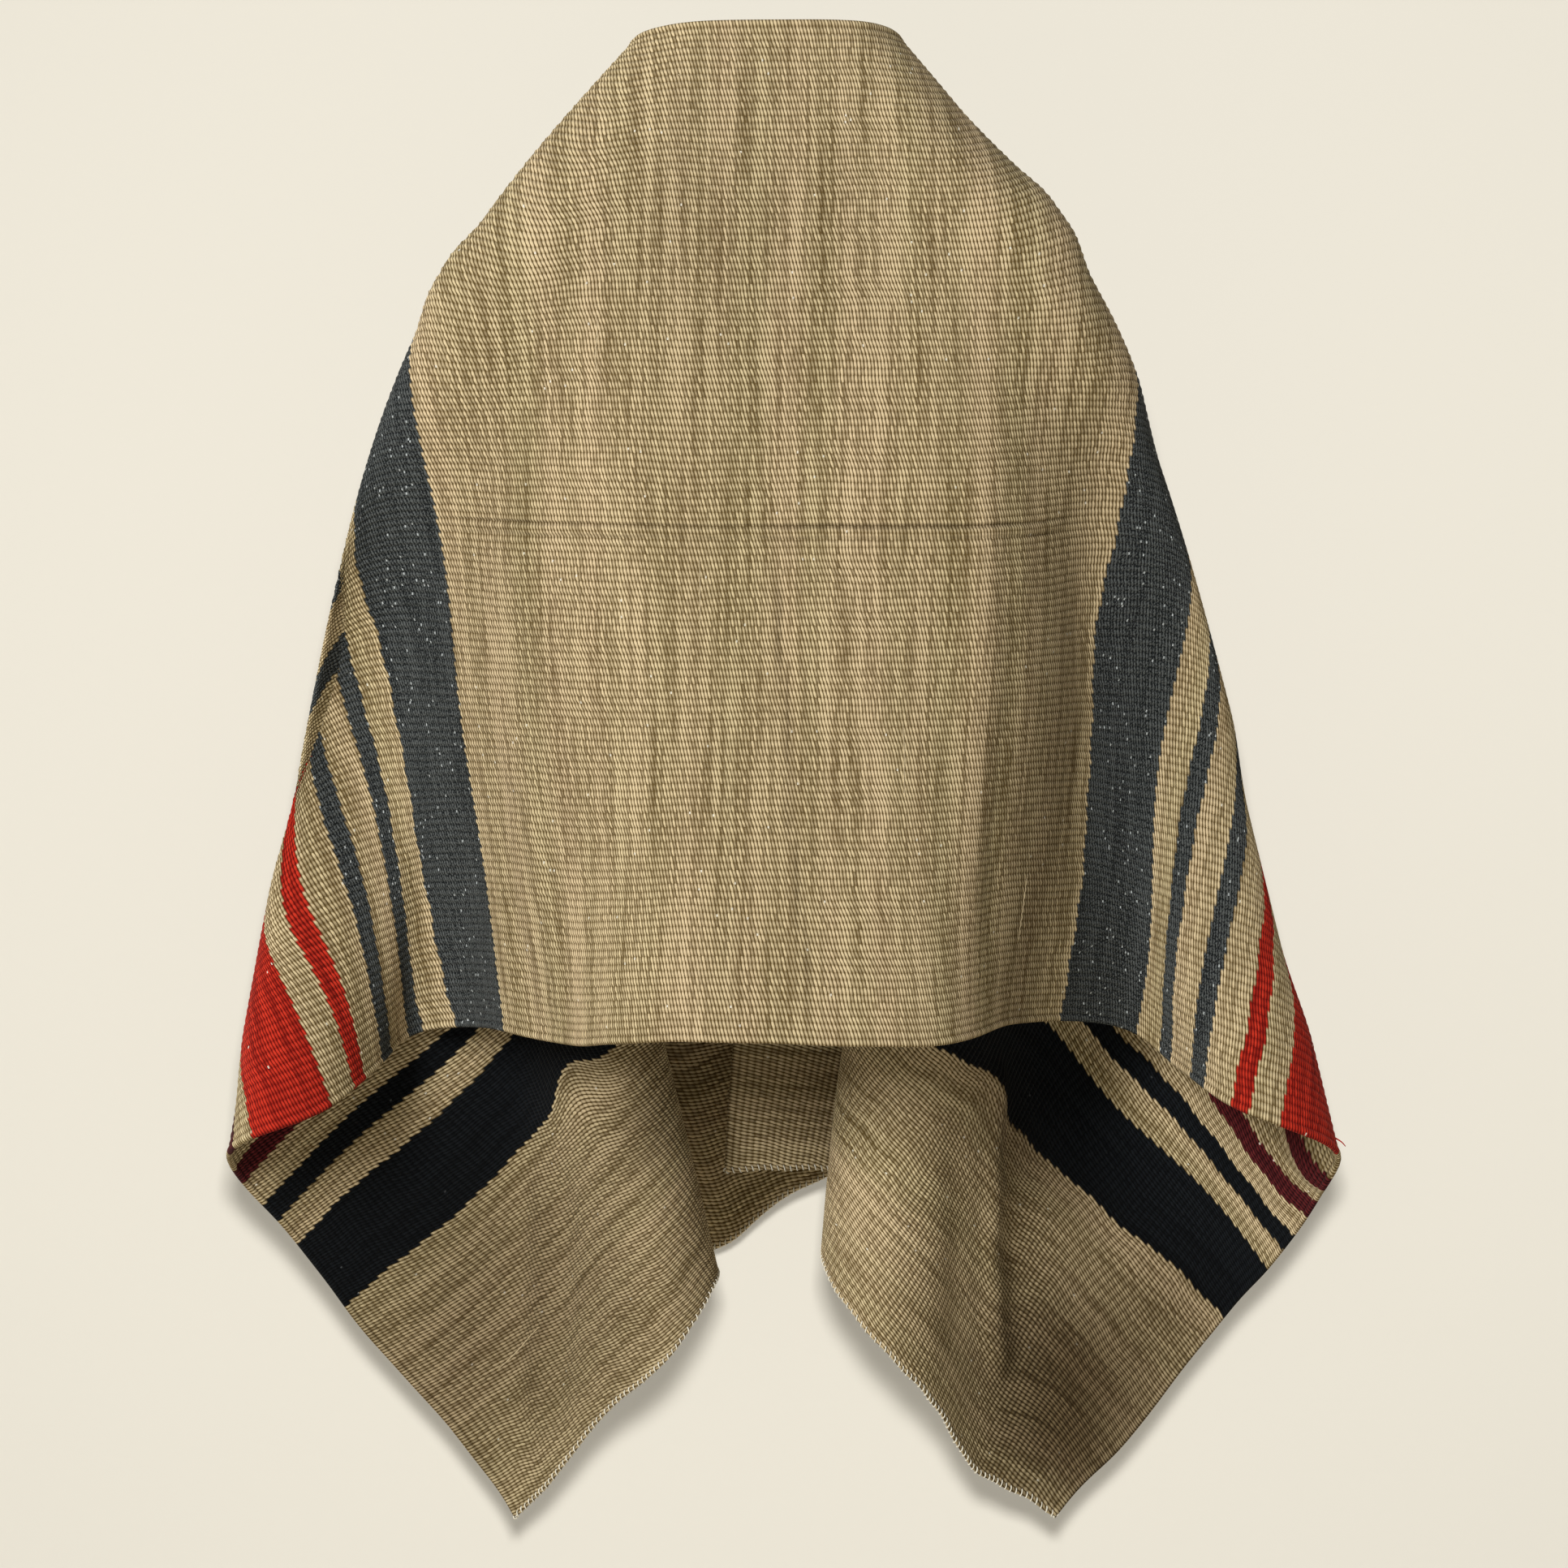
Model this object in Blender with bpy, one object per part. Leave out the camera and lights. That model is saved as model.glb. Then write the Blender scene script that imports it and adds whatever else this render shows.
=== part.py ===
"""Blanket poncho: one handwoven wool blanket worn round the shoulders, seen from behind.

The cloth is a single rectangle. Its top selvedge stands round the neck and falls down the
front, its lower selvedge is the back hem, and both ends hang in front in deep flutes. It is
modelled as a fan of straight lines of cloth that run from the top selvedge to the outer edge.
Four sections, at the neck, the shoulders, the elbows and the outer edge, say where the fan
stands in the air. The garment's back faces -Y, its right end hangs at +X, and the origin is
the middle of the neck opening, a finger's width below the top edge of the collar.
"""
from collections import namedtuple

import bmesh
import bpy
import numpy as np

# Driving dimensions in millimetres
MM = 0.001
HALF_LENGTH = 963.0        # centre back to either end of the blanket
WIDTH = 755.0              # selvedge to selvedge
WALL = 3.0                 # thickness of the woven cloth
SEAM_GAP = 0.3             # clearance between two stretches of the same cloth
NECK_DEPTH = 105.0         # from the plane of the back to the middle of the neck opening

# Where the fan starts on the top selvedge, measured from centre back
SHOULDER_START = 105.0     # the line that folds over the arm
FRONT_START = 235.0        # the last line, which is the front selvedge itself
ARM_EDGE = 600.0           # where the arm fold reaches the lower selvedge
OUTER_EDGE = HALF_LENGTH + WIDTH

# Places of the shoulder and elbow sections along each line, from 0 at the neck to 1
SHOULDER_LEVEL = 0.28
ELBOW_LEVEL = 0.63

# Limits of the stretches along the outer edge, from centre back
BACK_LIMIT = 407.0         # the valley behind each arm
SIDE_LIMIT = HALF_LENGTH   # the bottom corner of each end

# Wall divisions from the neck to the outer edge, and across each stretch
ROWS_DOWN = 20
BACK_COLUMNS = 32
SIDE_COLUMNS = 20
END_COLUMNS = 30

# Steps along the outer edge and down a line that a normal is measured over
EDGE_STEP = 0.5
DOWN_STEP = 0.0005

WOOL_ROUGHNESS = 0.9

# A place on a section: distance along the outer edge from centre back, then how far it stands
# from the middle, how deep it lies in front of the back's plane, and its drop below the origin
Place = namedtuple("Place", "edge across deep drop")

CENTRE = {
    "neck": Place(0, 0, 45, -9),
    "shoulder": Place(0, 0, 0, 203),
    "elbow": Place(0, 0, 0, 465),
    "outer": Place(0, 0, 0, 744),
}

LEFT = {
    "neck": [
        Place(250, 46, 48, -9),
        Place(450, 82, 60, -8),
        Place(600, 106, 85, -5),
        Place(963, 112, 120, 22),
        Place(1375, 111, 148, 66),
        Place(1718, 107, 164, 106),
    ],
    "shoulder": [
        Place(200, 84, -4, 203),
        Place(400, 168, 0, 204),
        Place(520, 226, 15, 203),
        Place(600, 257, 42, 198),
        Place(662, 258, 62, 216),
        Place(759, 253, 88, 239),
        Place(856, 245, 112, 268),
        Place(963, 233, 134, 295),
        Place(1242, 187, 170, 304),
        Place(1718, 98, 204, 312),
    ],
    "elbow": [
        Place(150, 104, 3, 465),
        Place(240, 166, 25, 462),
        Place(332, 221, 68, 458),
        Place(407, 262, 100, 454),
        Place(470, 300, 116, 453),
        Place(540, 341, 115, 468),
        Place(600, 355, 112, 500),
        Place(662, 346, 138, 540),
        Place(759, 298, 176, 590),
        Place(856, 252, 202, 642),
        Place(963, 206, 209, 693),
        Place(1010, 192, 194, 684),
        Place(1105, 165, 158, 662),
        Place(1178, 143, 148, 643),
        Place(1242, 127, 168, 628),
        Place(1308, 138, 206, 614),
        Place(1375, 164, 236, 602),
        Place(1423, 174, 256, 594),
        Place(1464, 160, 271, 588),
        Place(1530, 115, 276, 583),
        Place(1718, 30, 264, 570),
    ],
    "outer": [
        Place(120, 121, 12, 745),
        Place(210, 171, 75, 748),
        Place(268, 214, 130, 742),
        Place(332, 252, 182, 743),
        Place(366, 286, 194, 749),
        Place(407, 305, 168, 766),
        Place(448, 322, 138, 783),
        Place(482, 341, 115, 799),
        Place(546, 397, 98, 821),
        Place(600, 421, 134, 842),
        Place(662, 394, 172, 886),
        Place(759, 341, 205, 963),
        Place(856, 282, 220, 1045),
        Place(963, 210, 226, 1129),
        Place(1010, 183, 204, 1100),
        Place(1105, 128, 152, 1029),
        Place(1178, 83, 120, 985),
        Place(1242, 53, 150, 938),
        Place(1308, 63, 212, 931),
        Place(1375, 115, 258, 933),
        Place(1423, 142, 296, 936),
        Place(1464, 112, 324, 936),
        Place(1530, 48, 322, 927),
        Place(1592, 3, 304, 889),
        Place(1642, -40, 292, 866),
        Place(1718, -78, 284, 836),
    ],
}

RIGHT = {
    "neck": [
        Place(250, 42, 47, -9),
        Place(450, 70, 60, -8),
        Place(600, 84, 85, -5),
        Place(963, 89, 120, 22),
        Place(1375, 89, 148, 66),
        Place(1718, 86, 164, 106),
    ],
    "shoulder": [
        Place(200, 84, -4, 203),
        Place(400, 166, 0, 203),
        Place(520, 213, 20, 199),
        Place(600, 227, 48, 200),
        Place(662, 228, 68, 217),
        Place(759, 224, 95, 240),
        Place(856, 217, 118, 268),
        Place(963, 207, 140, 295),
        Place(1273, 162, 174, 304),
        Place(1718, 78, 204, 312),
    ],
    "elbow": [
        Place(150, 104, 3, 465),
        Place(240, 165, 27, 462),
        Place(332, 214, 70, 456),
        Place(407, 252, 96, 454),
        Place(470, 295, 108, 458),
        Place(540, 331, 118, 480),
        Place(600, 336, 146, 514),
        Place(662, 328, 172, 548),
        Place(759, 288, 197, 592),
        Place(856, 247, 211, 642),
        Place(963, 206, 212, 693),
        Place(1024, 184, 190, 684),
        Place(1120, 158, 152, 658),
        Place(1193, 122, 134, 643),
        Place(1273, 82, 152, 625),
        Place(1345, 82, 190, 608),
        Place(1400, 104, 212, 598),
        Place(1458, 131, 227, 590),
        Place(1492, 141, 239, 584),
        Place(1525, 127, 248, 580),
        Place(1620, 72, 250, 573),
        Place(1718, -8, 244, 568),
    ],
    "outer": [
        Place(120, 121, 12, 745),
        Place(210, 170, 78, 735),
        Place(268, 214, 130, 735),
        Place(332, 270, 166, 747),
        Place(366, 295, 166, 766),
        Place(407, 316, 140, 783),
        Place(448, 343, 115, 801),
        Place(482, 373, 106, 813),
        Place(546, 419, 128, 835),
        Place(600, 420, 166, 859),
        Place(662, 393, 198, 910),
        Place(759, 344, 216, 972),
        Place(856, 286, 224, 1055),
        Place(963, 212, 225, 1129),
        Place(1024, 162, 200, 1105),
        Place(1120, 119, 150, 1035),
        Place(1193, 80, 114, 987),
        Place(1273, 34, 140, 928),
        Place(1345, 41, 192, 900),
        Place(1400, 75, 216, 882),
        Place(1458, 124, 228, 872),
        Place(1492, 148, 244, 868),
        Place(1525, 128, 256, 864),
        Place(1625, 41, 242, 859),
        Place(1718, -46, 226, 857),
    ],
}

Stretch = namedtuple("Stretch", "name first last columns colour")
TAN = (0.352, 0.262, 0.155, 1.0)
TAN_SHADE = (0.300, 0.225, 0.130, 1.0)
STRIPE_GREY = (0.060, 0.075, 0.085, 1.0)
STRETCHES = [
    Stretch("back_stretch", -BACK_LIMIT, BACK_LIMIT, BACK_COLUMNS, TAN),
    Stretch("left_arm_stretch", -SIDE_LIMIT, -BACK_LIMIT, SIDE_COLUMNS, STRIPE_GREY),
    Stretch("right_arm_stretch", BACK_LIMIT, SIDE_LIMIT, SIDE_COLUMNS, STRIPE_GREY),
    Stretch("left_front_end", -OUTER_EDGE, -SIDE_LIMIT, END_COLUMNS, TAN_SHADE),
    Stretch("right_front_end", SIDE_LIMIT, OUTER_EDGE, END_COLUMNS, TAN_SHADE),
]


def natural_spline(knots, values, at):
    """Cubic spline with straight ends through the values, read at the places asked for."""
    knots = np.asarray(knots, float)
    values = np.asarray(values, float)
    step = np.diff(knots)
    slope = np.diff(values, axis=0) / step[:, None]
    count = len(knots)
    system = np.eye(count)
    bend_source = np.zeros_like(values)
    for i in range(1, count - 1):
        system[i, i - 1] = step[i - 1]
        system[i, i] = 2 * (step[i - 1] + step[i])
        system[i, i + 1] = step[i]
        bend_source[i] = 6 * (slope[i] - slope[i - 1])
    bend = np.linalg.solve(system, bend_source)
    cell = np.clip(np.searchsorted(knots, at, side="right") - 1, 0, count - 2)
    width = step[cell][:, None]
    ahead = (knots[cell + 1] - at)[:, None]
    behind = (at - knots[cell])[:, None]
    curved = (bend[cell] * ahead ** 3 + bend[cell + 1] * behind ** 3) / (6 * width)
    before = (values[cell] / width - bend[cell] * width / 6) * ahead
    after = (values[cell + 1] / width - bend[cell + 1] * width / 6) * behind
    return curved + before + after


def line_start(edge):
    """Place on the top selvedge where the line of cloth to this edge place starts."""
    reach = np.abs(edge)
    back = reach / ARM_EDGE * SHOULDER_START
    share = (reach - ARM_EDGE) / (OUTER_EDGE - ARM_EDGE)
    front = SHOULDER_START + share * (FRONT_START - SHOULDER_START)
    return np.sign(edge) * np.where(reach < ARM_EDGE, back, front)


def line_run(edge):
    """Run along the blanket and across it from the start of a line to the outer edge."""
    reach = np.abs(edge)
    end = np.sign(edge) * np.minimum(reach, HALF_LENGTH)
    across = WIDTH - np.maximum(reach - HALF_LENGTH, 0)
    return end - line_start(edge), across


def line_turn(edge):
    """Angle of a line of cloth on the flat blanket, from the left end to the right end."""
    along, across = line_run(edge)
    return np.arctan2(along, across)


def line_length(edge):
    """Length of a line of cloth from the top selvedge to the outer edge."""
    along, across = line_run(edge)
    return np.hypot(along, across)


def section_rows(level):
    """Edge places and points of one section, from the left end round the back to the right."""
    left = [(-p.edge, -p.across, p.deep, -p.drop) for p in reversed(LEFT[level])]
    middle = CENTRE[level]
    right = [(p.edge, p.across, p.deep, -p.drop) for p in RIGHT[level]]
    return np.array(left + [(0, middle.across, middle.deep, -middle.drop)] + right, float)


def cloth_points(edge, down):
    """Grid of points on the middle of the cloth, a row for each edge place.

    Every row of the outer section carries one line of cloth through the four sections. The
    lines are read at equal lengths of cloth and joined across, so the corners stay square.
    """
    outer = section_rows("outer")
    carried = outer[:, 0]
    sections = []
    for level in ("neck", "shoulder", "elbow"):
        rows = section_rows(level)
        sections.append(natural_spline(line_turn(rows[:, 0]), rows[:, 1:], line_turn(carried)))
    sections.append(outer[:, 1:])
    levels = np.array([0.0, SHOULDER_LEVEL, ELBOW_LEVEL, 1.0])
    length = line_length(carried)
    turn = line_turn(edge)
    points = np.empty((len(edge), len(down), 3))
    for i, place in enumerate(edge):
        run = line_length(np.array([place])) * down
        lines = [natural_spline(levels * length[k], np.array([s[k] for s in sections]), run)
                 for k in range(len(carried))]
        across = natural_spline(line_turn(carried), np.stack(lines).reshape(len(carried), -1),
                                turn[i:i + 1])
        points[i] = across.reshape(len(down), 3)
    points[..., 1] -= NECK_DEPTH
    return points


def cloth_normals(edge, down):
    """Unit normals of the cloth, from small steps along and down the fan."""
    along = cloth_points(edge + EDGE_STEP, down) - cloth_points(edge - EDGE_STEP, down)
    falling = cloth_points(edge, down + DOWN_STEP) - cloth_points(edge, down - DOWN_STEP)
    normal = np.cross(along, falling)
    return normal / np.linalg.norm(normal, axis=2, keepdims=True)


def wall_mesh(name, edge, down):
    """Closed wall of the cloth's thickness on a grid of edge places and drops."""
    middle = cloth_points(edge, down)
    normal = cloth_normals(edge, down)
    sheets = [middle - normal * WALL / 2, middle + normal * WALL / 2]
    vertices = np.concatenate([s.reshape(-1, 3) for s in sheets]) * MM
    columns = len(edge)
    rows = len(down)
    index = np.arange(2 * columns * rows).reshape(2, columns, rows)
    first = index[0]
    second = index[1]
    quads = []
    for i in range(columns - 1):
        for j in range(rows - 1):
            quads.append((first[i, j], first[i, j + 1], first[i + 1, j + 1], first[i + 1, j]))
            quads.append((second[i, j], second[i + 1, j], second[i + 1, j + 1], second[i, j + 1]))
    rim = [(i, 0) for i in range(columns - 1)]
    rim += [(columns - 1, j) for j in range(rows - 1)]
    rim += [(i, rows - 1) for i in range(columns - 1, 0, -1)]
    rim += [(0, j) for j in range(rows - 1, 0, -1)]
    for here, there in zip(rim, rim[1:] + rim[:1]):
        quads.append((first[here], first[there], second[there], second[here]))
    mesh = bpy.data.meshes.new(name)
    mesh.from_pydata(vertices.tolist(), [], [[int(v) for v in quad] for quad in quads])
    return mesh


def point_faces_out(mesh):
    """Split the quads and turn every face of the closed wall outwards."""
    work = bmesh.new()
    work.from_mesh(mesh)
    bmesh.ops.triangulate(work, faces=work.faces[:])
    bmesh.ops.recalc_face_normals(work, faces=work.faces[:])
    work.to_mesh(mesh)
    work.free()


def wool(name, colour):
    """Matt wool in one plain colour."""
    material = bpy.data.materials.new(name)
    material.use_nodes = True
    shader = material.node_tree.nodes["Principled BSDF"]
    shader.inputs["Base Color"].default_value = colour
    shader.inputs["Roughness"].default_value = WOOL_ROUGHNESS
    shader.inputs["Metallic"].default_value = 0.0
    return material


def add_stretch(stretch):
    """One stretch of the blanket as its own closed wall, a seam gap short of its neighbours."""
    inner_trim = SEAM_GAP / 2
    first = stretch.first + (inner_trim if abs(stretch.first) < OUTER_EDGE else 0)
    last = stretch.last - (inner_trim if abs(stretch.last) < OUTER_EDGE else 0)
    edge = np.linspace(first, last, stretch.columns + 1)
    down = np.linspace(0, 1, ROWS_DOWN + 1)
    mesh = wall_mesh(stretch.name, edge, down)
    point_faces_out(mesh)
    mesh.shade_smooth()
    mesh.materials.append(wool(stretch.name + "_wool", stretch.colour))
    item = bpy.data.objects.new(stretch.name, mesh)
    bpy.context.scene.collection.objects.link(item)
    return item


def clear_scene():
    """Remove what the default scene holds."""
    for item in list(bpy.data.objects):
        bpy.data.objects.remove(item)


clear_scene()
for part in STRETCHES:
    add_stretch(part)
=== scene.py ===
"""Looks of the blanket poncho: ribbed wool cloth, selvedge cords, overcast ends and a studio."""
from __future__ import annotations

import logging
import math
from dataclasses import dataclass, field
from enum import Enum
from typing import Callable, NamedTuple

import bpy
import numpy as np
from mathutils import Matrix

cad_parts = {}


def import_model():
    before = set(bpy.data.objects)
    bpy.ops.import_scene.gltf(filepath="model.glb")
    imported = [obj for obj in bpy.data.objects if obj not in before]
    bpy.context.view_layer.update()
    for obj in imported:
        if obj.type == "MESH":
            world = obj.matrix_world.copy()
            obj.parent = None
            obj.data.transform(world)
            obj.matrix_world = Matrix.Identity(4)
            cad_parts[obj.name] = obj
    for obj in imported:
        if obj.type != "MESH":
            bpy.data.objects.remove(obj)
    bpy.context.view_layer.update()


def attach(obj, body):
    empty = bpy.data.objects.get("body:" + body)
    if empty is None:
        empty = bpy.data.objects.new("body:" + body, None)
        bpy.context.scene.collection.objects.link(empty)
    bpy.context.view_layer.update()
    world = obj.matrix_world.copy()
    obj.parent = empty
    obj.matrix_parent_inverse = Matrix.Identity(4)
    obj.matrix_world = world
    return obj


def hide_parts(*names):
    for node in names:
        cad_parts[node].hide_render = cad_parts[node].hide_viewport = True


LOG = logging.getLogger("blanket_poncho")
MM = 0.001
BODY = "root"

Array = np.ndarray


class Place(NamedTuple):
    """A place on a section of the hanging cloth, in millimetres.

    edge is the distance along the outer edge from centre back, across how far it stands from
    the middle, deep how far in front of the back's plane, and drop how far below the origin.
    """

    edge: float
    across: float
    deep: float
    drop: float


class Side(Enum):
    """The two ends of the blanket, as signs along its length."""

    LEFT = -1
    RIGHT = 1


class Face(Enum):
    """The two faces of the cloth, as signs along its normal."""

    INNER = -1
    OUTER = 1


CENTRE: dict[str, Place] = {
    "neck": Place(0, 0, 45, -9),
    "shoulder": Place(0, 0, 0, 203),
    "elbow": Place(0, 0, 0, 465),
    "outer": Place(0, 0, 0, 744),
}

def section(*rows: tuple[float, float, float, float]) -> list[Place]:
    """Places of one section, from the back to the last line."""
    return [Place(*row) for row in rows]


LEFT: dict[str, list[Place]] = {
    "neck": section(
        (250, 46, 48, -9), (450, 82, 60, -8), (600, 106, 85, -5), (963, 112, 120, 22),
        (1375, 111, 148, 66), (1718, 107, 164, 106),
    ),
    "shoulder": section(
        (200, 84, -4, 203), (400, 168, 0, 204), (520, 226, 15, 203), (600, 257, 42, 198),
        (662, 258, 62, 216), (759, 253, 88, 239), (856, 245, 112, 268), (963, 233, 134, 295),
        (1242, 187, 170, 304), (1718, 98, 204, 312),
    ),
    "elbow": section(
        (150, 104, 3, 465), (240, 166, 25, 462), (332, 221, 68, 458), (407, 262, 100, 454),
        (470, 300, 116, 453), (540, 341, 115, 468), (600, 355, 112, 500), (662, 346, 138, 540),
        (759, 298, 176, 590), (856, 252, 202, 642), (963, 206, 209, 693), (1010, 192, 194, 684),
        (1105, 165, 158, 662), (1178, 143, 148, 643), (1242, 127, 168, 628), (1308, 138, 206, 614),
        (1375, 164, 236, 602), (1423, 174, 256, 594), (1464, 160, 271, 588), (1530, 115, 276, 583),
        (1718, 30, 264, 570),
    ),
    "outer": section(
        (120, 121, 12, 745), (210, 171, 75, 748), (268, 214, 130, 742), (332, 252, 182, 743),
        (366, 286, 194, 749), (407, 305, 168, 766), (448, 322, 138, 783), (482, 341, 115, 799),
        (546, 397, 98, 821), (600, 421, 134, 842), (662, 394, 172, 886), (759, 341, 205, 963),
        (856, 282, 220, 1045), (963, 210, 226, 1129), (1010, 183, 204, 1100), (1105, 128, 152, 1029),
        (1178, 83, 120, 985), (1242, 53, 150, 938), (1308, 63, 212, 931), (1375, 115, 258, 933),
        (1423, 142, 296, 936), (1464, 112, 324, 936), (1530, 48, 322, 927), (1592, 3, 304, 889),
        (1642, -40, 292, 866), (1718, -78, 284, 836),
    ),
}

RIGHT: dict[str, list[Place]] = {
    "neck": section(
        (250, 42, 47, -9), (450, 70, 60, -8), (600, 84, 85, -5), (963, 89, 120, 22),
        (1375, 89, 148, 66), (1718, 86, 164, 106),
    ),
    "shoulder": section(
        (200, 84, -4, 203), (400, 166, 0, 203), (520, 213, 20, 199), (600, 227, 48, 200),
        (662, 228, 68, 217), (759, 224, 95, 240), (856, 217, 118, 268), (963, 207, 140, 295),
        (1273, 162, 174, 304), (1718, 78, 204, 312),
    ),
    "elbow": section(
        (150, 104, 3, 465), (240, 165, 27, 462), (332, 214, 70, 456), (407, 252, 96, 454),
        (470, 295, 108, 458), (540, 331, 118, 480), (600, 336, 146, 514), (662, 328, 172, 548),
        (759, 288, 197, 592), (856, 247, 211, 642), (963, 206, 212, 693), (1024, 184, 190, 684),
        (1120, 158, 152, 658), (1193, 122, 134, 643), (1273, 82, 152, 625), (1345, 82, 190, 608),
        (1400, 104, 212, 598), (1458, 131, 227, 590), (1492, 141, 239, 584), (1525, 127, 248, 580),
        (1620, 72, 250, 573), (1718, -8, 244, 568),
    ),
    "outer": section(
        (120, 121, 12, 745), (210, 170, 78, 735), (268, 214, 130, 735), (332, 270, 166, 747),
        (366, 295, 166, 766), (407, 316, 140, 783), (448, 343, 115, 801), (482, 373, 106, 813),
        (546, 419, 128, 835), (600, 420, 166, 859), (662, 393, 198, 910), (759, 344, 216, 972),
        (856, 286, 224, 1055), (963, 212, 225, 1129), (1024, 162, 200, 1105), (1120, 119, 150, 1035),
        (1193, 80, 114, 987), (1273, 34, 140, 928), (1345, 41, 192, 900), (1400, 75, 216, 882),
        (1458, 124, 228, 872), (1492, 148, 244, 868), (1525, 128, 256, 864), (1625, 41, 242, 859),
        (1718, -46, 226, 857),
    ),
}


def natural_spline(knots: Array, values: Array, at: Array) -> Array:
    """Cubic spline with straight ends through the values.

    Between two knots the curve is a cubic whose bend runs linearly from one knot to the next,
    and the bends follow from equal slopes at each inner knot.

    Args:
        knots: places of the values, rising.
        values: a row of values for each knot.
        at: places to read the spline.

    Returns:
        A row of values for each place read.
    """
    step = np.diff(knots)
    slope = np.diff(values, axis=0) / step[:, None]
    count = len(knots)
    system = np.eye(count)
    bend_source = np.zeros_like(values)
    for i in range(1, count - 1):
        system[i, i - 1] = step[i - 1]
        system[i, i] = 2 * (step[i - 1] + step[i])
        system[i, i + 1] = step[i]
        bend_source[i] = 6 * (slope[i] - slope[i - 1])
    bend = np.linalg.solve(system, bend_source)
    cell = np.clip(np.searchsorted(knots, at, side="right") - 1, 0, count - 2)
    width = step[cell][:, None]
    ahead = (knots[cell + 1] - at)[:, None]
    behind = (at - knots[cell])[:, None]
    curved = (bend[cell] * ahead ** 3 + bend[cell + 1] * behind ** 3) / (6 * width)
    before = (values[cell] / width - bend[cell] * width / 6) * ahead
    after = (values[cell + 1] / width - bend[cell + 1] * width / 6) * behind
    return curved + before + after


def unit(vectors: Array) -> Array:
    """Vectors of length one, along the last axis."""
    return vectors / np.linalg.norm(vectors, axis=-1, keepdims=True)


def waves(at: Array, lengths: tuple[float, ...], seed: int) -> Array:
    """Soft unevenness: a sum of sines of the given wave lengths with seeded phases.

    Args:
        at: places in millimetres.
        lengths: wave lengths in millimetres.
        seed: which uneven line this is.

    Returns:
        Values of about one at most, of the shape of the places.
    """
    phases = np.random.default_rng(seed).uniform(0, 2 * math.pi, len(lengths))
    total = sum(np.sin(2 * math.pi * at / length + phase) for length, phase in zip(lengths, phases))
    return total / math.sqrt(len(lengths))


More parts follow.
